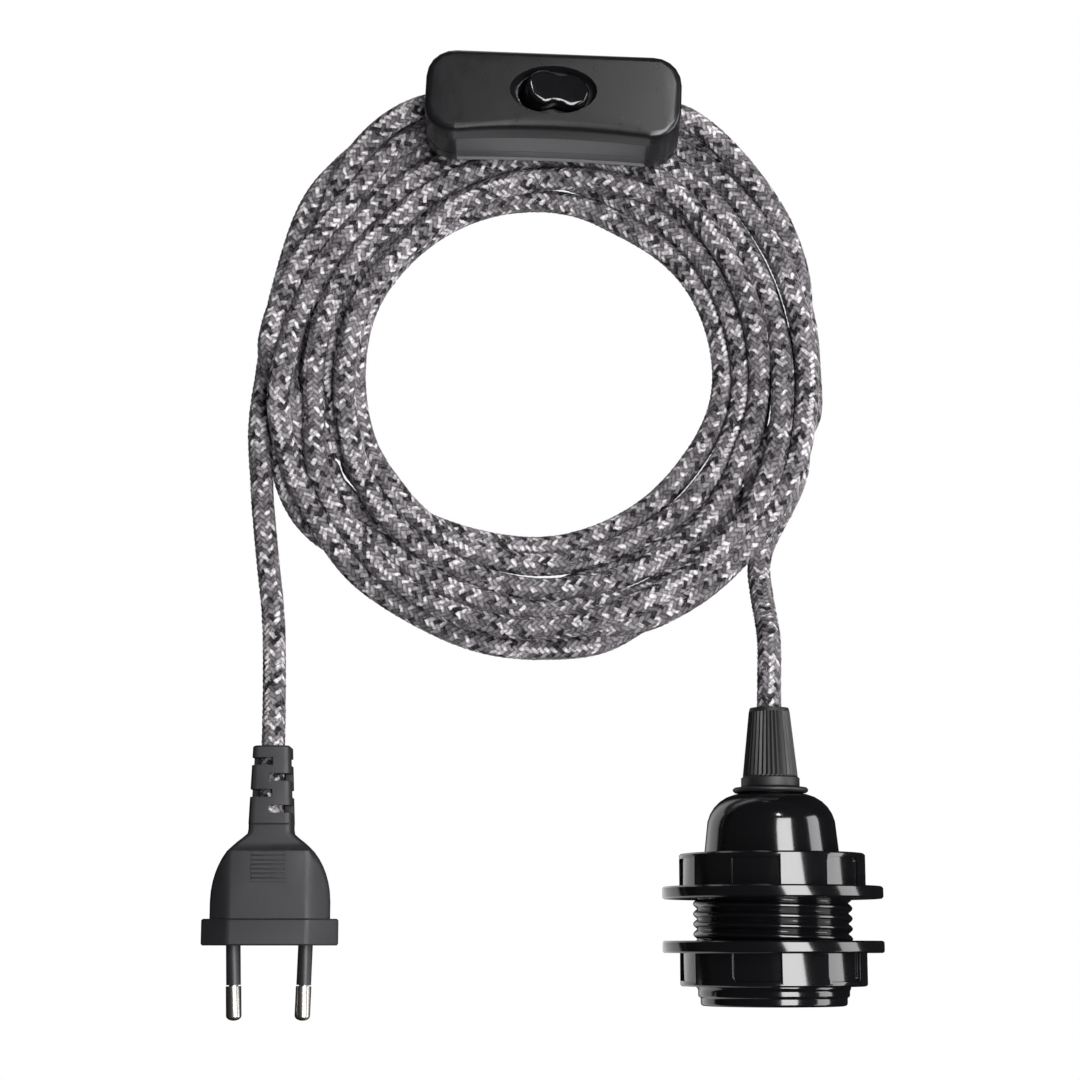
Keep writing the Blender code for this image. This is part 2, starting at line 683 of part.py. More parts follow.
def make_grip_nut(holder, jaw_bottom, jaw_top, plastic):
    bottom = SHOULDER_BOTTOM
    collar_top = bottom + COLLAR_HEIGHT
    band = 0.0011
    levels = [
        (COLLAR_RADIUS, 0.0, bottom), (COLLAR_RADIUS, 0.0, collar_top - 0.0003),
        (CONE_BASE_RADIUS, 0.0, collar_top),
        (CONE_BASE_RADIUS, FLUTE_DEPTH, collar_top + 0.0004),
        (CONE_TOP_RADIUS + 0.0001, FLUTE_DEPTH, GRIP_NUT_TOP - band),
        (CONE_TOP_RADIUS, 0.0, GRIP_NUT_TOP - band + 0.0003),
        (CONE_TOP_RADIUS - 0.0002, 0.0, GRIP_NUT_TOP),
    ]
    nut = loft("cord_grip_nut", [fluted_loop(*level) for level in levels], plastic, holder)
    bore = turned("grip_nut_bore", [
        (0.0, GRIP_NUT_TOP + OVERCUT), (CORD_BORE_RADIUS, GRIP_NUT_TOP + OVERCUT),
        (CORD_BORE_RADIUS, jaw_top + 0.0012), (JAW_RADIUS + GAP, jaw_top - 0.0008),
        (JAW_RADIUS + GAP, jaw_bottom + GAP), (SHOULDER_RADIUS + GAP, jaw_bottom + GAP),
        (SHOULDER_RADIUS + GAP, bottom - OVERCUT), (0.0, bottom - OVERCUT),
    ], plastic, holder, steps=GRIP_STEPS)
    combine(nut, [as_cutter(bore)])


def waist_at(height):
    """How far the middle of the near side pulls in, at a height on the switch."""
    share = max(0.0, (height - SWITCH_PARTING) / (SWITCH_HEIGHT - SWITCH_PARTING))
    return WAIST_AT_PARTING + (WAIST_AT_TOP - WAIST_AT_PARTING) * share ** 1.6


def waisted_loop(height, inset=0.0, panel=0.0):
    """The switch's outline at a height: round corners, a straight far side and a near side that
    curves inwards. inset shrinks it all round, and panel sinks the flat part of both long sides.
    The cord's line and the rocker lie nearer to the far side than to the corners of the near one."""
    half_length = SWITCH_LENGTH / 2 - inset
    half_width = SWITCH_WIDTH / 2 - inset
    corner = max(SWITCH_CORNER - inset, 0.002)
    straight = half_length - corner
    waist = waist_at(height)
    panel_end = SIDE_PANEL_LENGTH / 2
    wall = 0.0003
    inside = [panel_end * i / 3 for i in range(-3, 4)]
    places = [-straight, -panel_end - wall, *inside, panel_end + wall, straight]

    def side(x, pull):
        sunk = panel if abs(x) <= panel_end + 1e-9 else 0.0
        return half_width - pull * (1 - (x / half_length) ** 2) - sunk

    near = side(straight, waist) - corner
    far = side(straight, 0.0) - corner
    loop = [(x, -side(x, waist)) for x in places]
    loop += arc((straight, -near), corner, -90, 0, 5)[1:]
    loop += arc((straight, far), corner, 0, 90, 5)[:-1]
    loop += [(x, side(x, 0.0)) for x in reversed(places)]
    loop += arc((-straight, far), corner, 90, 180, 5)[1:]
    loop += arc((-straight, -near), corner, 180, 270, 5)[:-1]
    return [(x, y - SWITCH_TO_NEAR_SIDE, height) for x, y in loop]


def oval_loop(length, width, height, points=24):
    return [
        (length / 2 * math.cos(a), width / 2 * math.sin(a), height)
        for a in (2 * math.pi * i / points for i in range(points))
    ]


def peanut_outline(span, lobe, waist):
    """Two round lobes at plus and minus span, joined by hollow sides a waist apart."""
    hollow = (span ** 2 + waist ** 2 - lobe ** 2) / (2 * (lobe - waist))
    reach = math.hypot(span, waist + hollow)
    meet = math.degrees(math.atan2(waist + hollow, -span))
    turn = math.degrees(math.asin(span / reach))
    right = arc((span, 0), lobe, -meet, meet, 9)
    top = arc((0, waist + hollow), hollow, -90 + turn, -90 - turn, 4)[1:-1]
    left = arc((-span, 0), lobe, 180 - meet, 180 + meet, 9)
    bottom = arc((0, -waist - hollow), hollow, 90 + turn, 90 - turn, 4)[1:-1]
    return right + top + left + bottom


def peanut_loop(height, grow=0.0, grow_ends=0.0):
    outline = peanut_outline(ROCKER_SPAN + grow_ends, ROCKER_LOBE_RADIUS + grow, ROCKER_WAIST + grow)
    return [(x, y, height) for x, y in outline]


def make_top_housing(switch, plastic):
    """The upper shell: waisted sides with sunk panels, an oval recess, and the rocker's well."""
    half_gap = GAP / 2
    edge = SWITCH_TOP_ROUNDING
    panel_wall = 0.0004
    foot = SWITCH_PARTING + half_gap
    top = SWITCH_HEIGHT
    levels = [
        (foot, 0.0, SIDE_PANEL_DEPTH), (SIDE_PANEL_TOP - panel_wall, 0.0, SIDE_PANEL_DEPTH),
        (SIDE_PANEL_TOP, 0.0, 0.0), (top - edge * 1.6, 0.0, 0.0),
        (top - edge * 0.7, edge * 0.2, 0.0), (top - edge * 0.2, edge * 0.7, 0.0), (top, edge * 1.5, 0.0),
    ]
    housing = loft("switch_top_housing", [waisted_loop(*level) for level in levels], plastic, switch)
    inside = SWITCH_WALL + SIDE_PANEL_DEPTH
    cavity = as_cutter(loft("top_cavity", [
        waisted_loop(foot - OVERCUT, inside), waisted_loop(SIDE_PANEL_TOP, inside),
        waisted_loop(top - SWITCH_WALL, inside),
    ], plastic, switch))
    well_length = RECESS_LENGTH - 2 * RECESS_DRAFT + 2 * WELL_WALL
    well_width = RECESS_WIDTH - 2 * RECESS_DRAFT + 2 * WELL_WALL
    well = as_cutter(loft("rocker_well", [
        oval_loop(well_length, well_width, WELL_BOTTOM), oval_loop(well_length, well_width, top + OVERCUT),
    ], plastic, switch))
    combine(cavity, [well])
    for sign in (-1, 1):
        x, y = HOUSING_SCREW_PLACE[0] * sign, HOUSING_SCREW_PLACE[1]
        boss = rod(
            f"top_screw_boss_{(sign + 3) // 2}", POST_RADIUS + 0.0004, (x, y, foot),
            (x, y, top), plastic, switch, steps=HOLE_STEPS,
        )
        combine(cavity, [as_cutter(boss)])
    draft = 2 * RECESS_DRAFT
    recess = as_cutter(loft("recess", [
        oval_loop(RECESS_LENGTH - 2 * draft, RECESS_WIDTH - draft, RECESS_FLOOR),
        oval_loop(RECESS_LENGTH - draft, RECESS_WIDTH - 0.8 * draft, RECESS_FLOOR + 0.0005),
        oval_loop(RECESS_LENGTH - 0.4 * draft, RECESS_WIDTH - 0.4 * draft, top - 0.0006),
        oval_loop(RECESS_LENGTH + 0.6 * draft, RECESS_WIDTH + 0.6 * draft, top + 0.0006),
    ], plastic, switch))
    hole = as_cutter(loft("rocker_hole", [
        peanut_loop(WELL_BOTTOM - OVERCUT, ROCKER_SIDE_CLEARANCE, ROCKER_END_CLEARANCE),
        peanut_loop(RECESS_FLOOR + OVERCUT, ROCKER_SIDE_CLEARANCE, ROCKER_END_CLEARANCE),
    ], plastic, switch))
    reach = PIVOT_PIN_REACH + GAP
    bearing = as_cutter(rod(
        "pivot_bearing", PIVOT_PIN_RADIUS + GAP, (0, -reach, PIVOT_HEIGHT), (0, reach, PIVOT_HEIGHT),
        plastic, switch, steps=HOLE_STEPS,
    ))
    combine(housing, [cavity, recess, hole, bearing])
    return housing


def make_bottom_housing(switch, plastic):
    """The lower shell, with the posts of the cord clamps and the counterbores of the screws."""
    edge = 0.0014
    panel_wall = 0.0004
    top = SWITCH_PARTING - GAP / 2
    levels = [
        (0.0, edge, 0.0), (edge * 0.3, edge * 0.35, 0.0), (SIDE_PANEL_FOOT, 0.0, 0.0),
        (SIDE_PANEL_FOOT + panel_wall, 0.0, SIDE_PANEL_DEPTH), (top, 0.0, SIDE_PANEL_DEPTH),
    ]
    housing = loft("switch_bottom_housing", [waisted_loop(*level) for level in levels], plastic, switch)
    inside = SWITCH_WALL + SIDE_PANEL_DEPTH
    cavity = as_cutter(loft("bottom_cavity", [
        waisted_loop(SWITCH_FLOOR, inside), waisted_loop(top + OVERCUT, inside),
    ], plastic, switch))
    combine(housing, [cavity])
    for end in (-1, 1):
        for side in (-1, 1):
            x, y = end * CLAMP_PLACE, side * CLAMP_SCREW_SPREAD
            post = rod(
                f"clamp_post_{end}_{side}", POST_RADIUS, (x, y, SWITCH_FLOOR - OVERCUT), (x, y, POST_TOP),
                plastic, switch, steps=HOLE_STEPS,
            )
            combine(housing, [as_cutter(post)], "UNION")
    return housing


def make_switch_screws(switch, top_housing, bottom_housing, steel):
    """Two screws from below hold the shells together, in counterbored holes."""
    for number, sign in enumerate((-1, 1), start=1):
        x, y = HOUSING_SCREW_PLACE[0] * sign, HOUSING_SCREW_PLACE[1]
        pillar_top = SWITCH_PARTING - GAP / 2
        pillar = rod(
            f"screw_pillar_{number}", SCREW_HEAD_RADIUS + 0.0009, (x, y, SWITCH_FLOOR - OVERCUT),
            (x, y, pillar_top), steel, switch, steps=HOLE_STEPS,
        )
        combine(bottom_housing, [as_cutter(pillar)], "UNION")
        counterbore = rod(
            f"counterbore_{number}", SCREW_HEAD_RADIUS + GAP, (x, y, -OVERCUT), (x, y, COUNTERBORE_DEPTH),
            steel, switch, steps=HOLE_STEPS,
        )
        tip = COUNTERBORE_DEPTH + HOUSING_SCREW_LENGTH
        shaft = rod(
            f"housing_screw_hole_{number}", SCREW_SHANK_RADIUS + GAP, (x, y, COUNTERBORE_DEPTH - OVERCUT),
            (x, y, tip), steel, switch, steps=HOLE_STEPS,
        )
        combine(bottom_housing, [as_cutter(counterbore), as_cutter(shaft)])
        combine(top_housing, [shaft])
        screw = make_screw(
            f"housing_screw_{number}", (x, y, COUNTERBORE_DEPTH - GAP), HOUSING_SCREW_LENGTH - GAP,
            steel, switch, up=-1,
        )
        head_face = COUNTERBORE_DEPTH - GAP - SCREW_HEAD_HEIGHT
        half = SCREW_HEAD_RADIUS * 1.2
        slot = as_cutter(box(
            f"driver_slot_{number}", (x - half, y - DRIVER_SLOT / 2, head_face - DRIVER_SLOT),
            (x + half, y + DRIVER_SLOT / 2, head_face + DRIVER_SLOT), steel, switch,
        ))
        combine(screw, [slot])


def make_rocker(switch, gloss, steel, plastic):
    """The peanut-shaped rocker on its pins, with the sprung plunger that tips the bridge."""
    swing = Matrix.Rotation(math.radians(ROCKER_SWING_DEG), 3, "Y")
    pivot = seat("rocker_pivot", (0, 0, PIVOT_HEIGHT), swing, switch)
    top = ROCKER_PIVOT_DEPTH + ROCKER_PROUD
    rocker = loft("switch_rocker", [
        peanut_loop(-ROCKER_SKIRT), peanut_loop(top - 0.0016, -0.00005),
        peanut_loop(top - 0.0006, -0.0002), peanut_loop(top - 0.0002, -0.0005),
        peanut_loop(top, -0.0010),
    ], gloss, pivot)
    pins = as_cutter(rod(
        "rocker_pins", PIVOT_PIN_RADIUS, (0, -PIVOT_PIN_REACH, 0), (0, PIVOT_PIN_REACH, 0), gloss, pivot,
        steps=HOLE_STEPS,
    ))
    combine(rocker, [pins], "UNION")
    bore = as_cutter(rod(
        "plunger_bore", PLUNGER_RADIUS + GAP, (0, 0, -ROCKER_SKIRT - OVERCUT), (0, 0, PLUNGER_BORE_TOP),
        gloss, pivot, steps=HOLE_STEPS,
    ))
    combine(rocker, [bore])
    plunger_top = -PLUNGER_REACH + PLUNGER_LENGTH
    turned("rocker_plunger", [
        (0.0, plunger_top), (PLUNGER_RADIUS, plunger_top), (PLUNGER_RADIUS, -PLUNGER_REACH + 0.0012),
        (PLUNGER_RADIUS - 0.0004, -PLUNGER_REACH + 0.0004), (0.0005, -PLUNGER_REACH),
        (0.0, -PLUNGER_REACH),
    ], plastic, pivot, steps=HOLE_STEPS)
    wire = 0.0002
    turns, per_turn = 4, 6
    low = plunger_top + GAP + wire
    high = PLUNGER_BORE_TOP - GAP - wire
    coil_radius = PLUNGER_RADIUS - 2 * wire
    helix = []
    for i in range(turns * per_turn + 1):
        angle = 2 * math.pi * i / per_turn
        rise = low + (high - low) * i / (turns * per_turn)
        helix.append((coil_radius * math.cos(angle), coil_radius * math.sin(angle), rise))
    tube("rocker_spring", helix, wire, steel, pivot, spacing=1.0, resolution=0)


def make_contacts(switch, brass, steel, insulation):
    """The see-saw bridge, the live strips under it, the neutral block, and the cores between."""
    bridge_seat = seat(
        "bridge_pivot", (0, 0, BRIDGE_PIVOT_HEIGHT),
        Matrix.Rotation(math.radians(-BRIDGE_TILT_DEG), 3, "Y"), switch,
    )
    half = BRIDGE_LENGTH / 2
    flat_plate(
        "contact_bridge",
        bent_strip([(-half, BRIDGE_RISE), (0.0, 0.0), (half, BRIDGE_RISE)], BRIDGE_THICKNESS),
        BRIDGE_WIDTH / 2, brass, bridge_seat, STAND_UP,
    )
    base = SWITCH_FLOOR + GAP
    block_top = base + TERMINAL_HEIGHT
    drop = half * math.sin(math.radians(BRIDGE_TILT_DEG))
    pad_top = BRIDGE_PIVOT_HEIGHT + BRIDGE_RISE - BRIDGE_THICKNESS / 2 - drop - GAP
    saddle_top = BRIDGE_PIVOT_HEIGHT - BRIDGE_THICKNESS / 2 - GAP
    inner = TERMINAL_REACH - TERMINAL_LENGTH
    strip_top = base + STRIP_THICKNESS
    knife = 0.0004
    pivot_outline = [
        (-TERMINAL_REACH, base), (knife, base), (knife, saddle_top), (-knife, saddle_top),
        (-knife, strip_top), (-inner, strip_top), (-inner, block_top), (-TERMINAL_REACH, block_top),
    ]
    pad_outline = [
        (half - 0.0020, base), (TERMINAL_REACH, base), (TERMINAL_REACH, block_top), (inner, block_top),
        (inner, strip_top), (half + 0.0010, strip_top), (half + 0.0006, pad_top),
        (half - 0.0016, pad_top),
    ]
    screw_height = WIRE_HEIGHT + WIRE_HOLE_RADIUS + GAP
    screw_length = block_top + GAP - screw_height
    for name, outline, sign in (("contact_pivot", pivot_outline, -1), ("switched_contact", pad_outline, 1)):
        strip = flat_plate(name, outline, STRIP_WIDTH / 2, brass, switch, STAND_UP)
        wire_hole = rod(
            name + "_wire_hole", WIRE_HOLE_RADIUS, (sign * (inner - OVERCUT), 0, WIRE_HEIGHT),
            (sign * (TERMINAL_REACH + OVERCUT), 0, WIRE_HEIGHT), brass, switch, steps=HOLE_STEPS,
        )
        x = sign * (TERMINAL_REACH - TERMINAL_LENGTH / 2)
        screw_hole = rod(
            name + "_screw_hole", SCREW_SHANK_RADIUS + GAP, (x, 0, WIRE_HEIGHT),
            (x, 0, block_top + OVERCUT), brass, switch, steps=HOLE_STEPS,
        )
        combine(strip, [as_cutter(wire_hole), as_cutter(screw_hole)])
        make_screw(
            f"live_terminal_screw_{1 if sign < 0 else 2}", (x, 0, block_top + GAP), screw_length,
            steel, switch,
        )
    neutral_half = NEUTRAL_LENGTH / 2
    side = STRIP_WIDTH / 2
    neutral = box(
        "neutral_terminal", (-neutral_half, NEUTRAL_OFFSET - side, base),
        (neutral_half, NEUTRAL_OFFSET + side, block_top), brass, switch,
    )
    neutral_hole = rod(
        "neutral_wire_hole", WIRE_HOLE_RADIUS, (-neutral_half - OVERCUT, NEUTRAL_OFFSET, WIRE_HEIGHT),
        (neutral_half + OVERCUT, NEUTRAL_OFFSET, WIRE_HEIGHT), brass, switch, steps=HOLE_STEPS,
    )
    combine(neutral, [as_cutter(neutral_hole)])
    for number, sign in enumerate((-1, 1), start=1):
        x = sign * (neutral_half - 0.0017)
        screw_hole = rod(
            f"neutral_screw_hole_{number}", SCREW_SHANK_RADIUS + GAP, (x, NEUTRAL_OFFSET, WIRE_HEIGHT),
            (x, NEUTRAL_OFFSET, block_top + OVERCUT), brass, switch, steps=HOLE_STEPS,
        )
        combine(neutral, [as_cutter(screw_hole)])
        make_screw(
            f"neutral_terminal_screw_{number}", (x, NEUTRAL_OFFSET, block_top + GAP), screw_length,
            steel, switch,
        )
    for tag, sign in (("left", -1), ("right", 1)):
        start = sign * (CORD_END_IN_SWITCH - GAP)
        live_end = sign * (inner + 0.0010)
        neutral_end = sign * (neutral_half - 0.0030)
        tube(f"switch_wire_live_{tag}", [
            (start, -CORE_SPREAD, SWITCH_PARTING), (start - sign * 0.0006, -CORE_SPREAD, SWITCH_PARTING),
            (sign * TERMINAL_REACH, 0.0, WIRE_HEIGHT), (live_end, 0.0, WIRE_HEIGHT),
        ], CORE_RADIUS, insulation, switch, spacing=0.0012)
        tube(f"switch_wire_neutral_{tag}", [
            (start, CORE_SPREAD, SWITCH_PARTING), (start - sign * 0.0006, CORE_SPREAD, SWITCH_PARTING),
            (sign * 0.0180, 0.0036, 0.0050), (sign * 0.0150, 0.0050, 0.0049),
            (sign * 0.0100, NEUTRAL_OFFSET, WIRE_HEIGHT),
            (sign * neutral_half, NEUTRAL_OFFSET, WIRE_HEIGHT), (neutral_end, NEUTRAL_OFFSET, WIRE_HEIGHT),
        ], CORE_RADIUS, insulation, switch, spacing=0.0025)


def make_cord_clamps(switch, bottom_housing, top_housing, plastic, steel):
    """At each end a bar, held by two screws, presses the cord into its seat in the shells."""
    bar_bottom = POST_TOP + GAP
    bar_top = bar_bottom + CLAMP_THICKNESS
    for tag, end in (("left", -1), ("right", 1)):
        half_length, half_width = CLAMP_LENGTH / 2, CLAMP_WIDTH / 2
        middle = end * CLAMP_PLACE
        bar = box(
            f"cord_clamp_{tag}", (middle - half_width, -half_length, bar_bottom),
            (middle + half_width, half_length, bar_top), plastic, switch,
        )
        bevel = bar.modifiers.new("edges", "BEVEL")
        bevel.width = 0.0004
        bevel.segments = 1
        trough = as_cutter(rod(
            f"clamp_trough_{tag}", CORD_BORE_RADIUS, (middle - half_length, 0, SWITCH_PARTING),
            (middle + half_length, 0, SWITCH_PARTING), plastic, switch,
        ))
        combine(bar, [trough])
        for number, side in enumerate((-1, 1), start=1):
            y = side * CLAMP_SCREW_SPREAD
            hole = as_cutter(rod(
                f"clamp_hole_{tag}_{number}", SCREW_SHANK_RADIUS + GAP, (middle, y, SWITCH_FLOOR + 0.0010),
                (middle, y, bar_top + OVERCUT), plastic, switch, steps=HOLE_STEPS,
            ))
            combine(bar, [hole])
            combine(bottom_housing, [hole])
            make_screw(
                f"clamp_screw_{tag}_{number}", (middle, y, bar_top + GAP), SCREW_LENGTH, steel, switch,
            )
        entry = as_cutter(rod(
            f"cord_entry_{tag}", CORD_BORE_RADIUS, (end * (CLAMP_PLACE + 3 * OVERCUT), 0, SWITCH_PARTING),
            (end * (SWITCH_LENGTH / 2 + 2 * OVERCUT), 0, SWITCH_PARTING), plastic, switch,
        ))
        combine(bottom_housing, [entry])
        combine(top_housing, [entry])


def plug_section(along, width, thickness, panel):
    """A flat-topped section with sloping shoulders and rounded corners, as points of the plug."""
    slope = 0.72
    corner = 0.0009
    half_width, half_thickness = width / 2, thickness / 2
    flat = min(panel / 2, half_width - 0.0012)
    side = half_thickness - slope * (half_width - flat)
    corners = [
        (half_width, -side), (half_width, side), (flat, half_thickness), (-flat, half_thickness),
        (-half_width, side), (-half_width, -side), (-flat, -half_thickness), (flat, -half_thickness),
    ]
    loop = []
    for i, (x, y) in enumerate(corners):
        here = Vector((x, y))
        before = Vector(corners[i - 1]) - here
        after = Vector(corners[(i + 1) % len(corners)]) - here
        reach = min(corner, before.length / 2.5, after.length / 2.5)
        loop += [here + before.normalized() * reach, here + after.normalized() * reach]
    return [(point.x, point.y, along) for point in loop]


def shoulder_width(along):
    """Width of the plug's body: full at the flange, then an ellipse that runs into the neck."""
    share = max(0.0, (along - PLUG_SHOULDER_START) / PLUG_SHOULDER_LENGTH)
    full = PLUG_BODY_WIDTH * math.sqrt(max(0.0, 1 - share ** 2))
    blend = 6
    return (full ** blend + RELIEF_BASE_WIDTH ** blend) ** (1 / blend)


def make_plug_body(plug, rubber):
    """One moulding: a flange, flat-faced body, round shoulders, and a slotted strain relief."""
    edge = 0.0004
    wide = (PLUG_WIDTH, PLUG_THICKNESS, PLUG_PANEL_WIDTH)
    eased = (PLUG_WIDTH - 2 * edge, PLUG_THICKNESS - 2 * edge, PLUG_PANEL_WIDTH)
    sections = [
        plug_section(0.0, *eased), plug_section(edge, *wide),
        plug_section(PLUG_FLANGE_LENGTH - edge, *wide), plug_section(PLUG_FLANGE_LENGTH, *eased),
    ]
    body_stations = 7
    for i in range(body_stations + 1):
        share = i / body_stations
        along = PLUG_FLANGE_LENGTH + (PLUG_LEDGE - PLUG_FLANGE_LENGTH) * share ** 0.7
        sections.append(plug_section(along, shoulder_width(along), PLUG_BODY_THICKNESS, PLUG_PANEL_WIDTH))
    neck_stations = 5
    for i in range(neck_stations + 1):
        neck_start = PLUG_LEDGE + PLUG_LEDGE_SLOPE
        along = neck_start + (PLUG_NECK_END - 0.0005 - neck_start) * i / neck_stations
        thickness = PLUG_NECK_THICKNESS - 0.0010 * i / neck_stations
        sections.append(plug_section(along, shoulder_width(along), thickness, PLUG_PANEL_WIDTH))
    relief = ((PLUG_NECK_END, 1.0), (PLUG_LENGTH - edge, 0.0))
    for along, share in relief:
        width = RELIEF_TIP_WIDTH + (RELIEF_BASE_WIDTH - RELIEF_TIP_WIDTH) * share
        sections.append(plug_section(along, width, RELIEF_THICKNESS, PLUG_PANEL_WIDTH))
    sections.append(plug_section(
        PLUG_LENGTH, RELIEF_TIP_WIDTH - 2 * edge, RELIEF_THICKNESS - 2 * edge, PLUG_PANEL_WIDTH,
    ))
    body = loft("plug_body", sections, rubber, plug)
    bore = as_cutter(rod(
        "relief_bore", CORD_BORE_RADIUS, (0, 0, PLUG_NECK_END), (0, 0, PLUG_LENGTH + OVERCUT), rubber, plug,
    ))
    cutters = [bore]
    reach = RELIEF_BASE_WIDTH
    for number in range(4):
        middle = PLUG_NECK_END + RELIEF_FIRST_SLOT + RELIEF_SLOT_PITCH * number
        for face in (-1, 1):
            sign = face if number % 2 else -face
            left, right = sorted((-sign * RELIEF_SLOT_PAST_MIDDLE, sign * reach))
            low, high = sorted((-face * RELIEF_SLOT_PAST_CENTRE_PLANE, face * reach))
            cutters.append(as_cutter(box(
                f"relief_slot_{number + 1}_{face}", (left, low, middle - RELIEF_SLOT_WIDTH / 2),
                (right, high, middle + RELIEF_SLOT_WIDTH / 2), rubber, plug,
            )))
    for face in (-1, 1):
        combine(body, [make_grip_pad(face, plug, rubber)], "UNION")
    combine(body, cutters)
    return body


def make_grip_pad(face, plug, rubber):
    """Ribs across the middle of one flat face, drawn as a comb seen from the side."""
    surface = PLUG_BODY_THICKNESS / 2
    start = PLUG_LEDGE - 0.0002
    root = surface - 0.001
    ease = 0.00005
    outline = [(start, root)]
    for rib in range(PAD_RIBS):
        near = start - rib * PAD_RIB_PITCH
        far = near - 0.7 * PAD_RIB_PITCH
        outline += [(near, surface + PAD_PROUD), (far, surface + PAD_PROUD)]
        if rib < PAD_RIBS - 1:
            foot = surface + ease
            outline += [(far - ease, foot), (near - PAD_RIB_PITCH + ease, foot)]
    outline.append((start - (PAD_RIBS - 0.3) * PAD_RIB_PITCH, root))
    turn = Matrix(((0, 0, 1, 0), (0, face, 0, 0), (1, 0, 0, 0), (0, 0, 0, 1)))
    pad = flat_plate(f"grip_pad_{(face + 3) // 2}", outline, PAD_WIDTH / 2, rubber, plug, turn)
    shape = bmesh.new()
    shape.from_mesh(pad.data)
    bmesh.ops.recalc_face_normals(shape, faces=shape.faces)
    shape.to_mesh(pad.data)
    shape.free()
    return as_cutter(pad)


def make_plug_pins(plug, body, nickel, sleeve_plastic):
    """Two pins that lean towards each other, each with an insulating sleeve over its inner half."""
    for tag, sign in (("left", -1), ("right", 1)):
        lean = Matrix.Rotation(math.radians(PIN_TILT_DEG * sign), 3, "Y")
        pin_seat = seat(f"pin_seat_{tag}", (sign * PIN_SPACING / 2, 0, 0), lean, plug)
        sleeve_outer = PIN_RADIUS - 0.0001
        sleeve_inner = sleeve_outer - PIN_SLEEVE_WALL
        core = PIN_CORE_RADIUS
        tip = [(0.0, -PIN_LENGTH)]
        nose = arc((0.0, -PIN_LENGTH + 0.0012), 1.0, -90, 0, 4)
        tip += [(PIN_RADIUS * x, -PIN_LENGTH + 0.0012 * (1 + y + PIN_LENGTH - 0.0012)) for x, y in nose[1:]]
        profile = [
            (0.0, PIN_CORE_IN_BODY), (core, PIN_CORE_IN_BODY), (core, -PIN_SLEEVE_LENGTH - GAP),
            (PIN_RADIUS, -PIN_SLEEVE_LENGTH - GAP), *reversed(tip),
        ]
        turned(f"plug_pin_{tag}", profile, nickel, pin_seat, steps=PIN_STEPS)
        turned(f"pin_sleeve_{tag}", [
            (core + GAP, PIN_SLEEVE_IN_BODY), (sleeve_outer, PIN_SLEEVE_IN_BODY),
            (sleeve_outer, -PIN_SLEEVE_LENGTH), (core + GAP, -PIN_SLEEVE_LENGTH),
        ], sleeve_plastic, pin_seat, closed=True, steps=PIN_STEPS)
        socket = as_cutter(rod(
            f"pin_socket_{tag}", sleeve_outer + GAP, (0, 0, -0.002), (0, 0, PIN_SLEEVE_IN_BODY + GAP),
            nickel, pin_seat,
        ))
        core_hole = as_cutter(rod(
            f"pin_core_hole_{tag}", core + GAP, (0, 0, 0), (0, 0, PIN_CORE_IN_BODY + GAP), nickel, pin_seat,
        ))
        combine(body, [socket, core_hole])


def make_coil(braid):
    """The wound cord as one ring: its real turns lie inside this shape."""
    inner, outer, corner = COIL_INNER_RADIUS, COIL_OUTER_RADIUS, COIL_ROUNDING
    high = COIL_HEIGHT
    profile = [
        *arc((inner + corner, high - corner), corner, 180, 90, 2),
        *arc((outer - corner, high - corner), corner, 90, 0, 2),
        *arc((outer - corner, corner), corner, 0, -90, 2),
        *arc((inner + corner, corner), corner, -90, -180, 2),
    ]
    ring_seat = seat("coil_seat", (*COIL_CENTRE, 0.0))
    turned("cord_coil", profile, braid, ring_seat, closed=True, steps=ROUND_STEPS)


def make_leads(switch, plug, braid):
    """The cord outside the coil, each lead from inside its fitting to the side or top of the coil."""
    spacing = 2.2 * CORD_RADIUS
    holder_start = Vector((0.0, MOUTH_Y + CORD_END_IN_HOLDER, FLANGE_RADIUS))
    holder_exit = Vector((0.0, MOUTH_Y + GRIP_NUT_TOP, FLANGE_RADIUS))
    straight_in_grip = Vector((0, 0.008, 0))
    tube("cord_holder_lead", [
        holder_start, holder_exit - straight_in_grip, holder_exit, *HOLDER_LEAD_ROUTE,
    ], CORD_RADIUS, braid, None, spacing / 2)
    plug_end = plug.matrix_world @ Vector((0, 0, PLUG_NECK_END + OVERCUT))
    plug_exit = plug.matrix_world @ Vector((0, 0, PLUG_LENGTH + 0.003))
    tube("cord_plug_lead", [*PLUG_LEAD_ROUTE, plug_exit, plug_end], CORD_RADIUS, braid, None, spacing)
    for tag, sign, route in (("right", 1, RIGHT_LEAD_ROUTE), ("left", -1, LEFT_LEAD_ROUTE)):
        inside = switch.matrix_world @ Vector((sign * CORD_END_IN_SWITCH, 0, SWITCH_PARTING))
        exit_point = switch.matrix_world @ Vector((sign * (SWITCH_LENGTH / 2 + 0.001), 0, SWITCH_PARTING))
        tube(f"cord_switch_{tag}_lead", [inside, exit_point, *route], CORD_RADIUS, braid, None, spacing)


def make_holder_wires(holder, insulation):
    """Two cores fan out from the cord's end to the screws on the contact block."""
    start = CORD_END_IN_HOLDER - GAP
    wire_height = FOOT_BOTTOM + CONTACT_THICKNESS + GAP + CORE_RADIUS
    tip = TERMINAL_SPREAD - SCREW_HEAD_RADIUS - GAP
    for tag, sign in (("live", 1), ("neutral", -1)):
        tube(f"holder_wire_{tag}", [
            (sign * CORE_SPREAD, 0, start), (sign * 0.0016, 0, start - 0.0035),
            (sign * 0.0034, 0, start - 0.0070), (sign * 0.0050, 0, wire_height + 0.0022),
            (sign * 0.0061, 0, wire_height + 0.0004), (sign * tip, 0, wire_height),
        ], CORE_RADIUS, insulation, holder, spacing=0.0018)


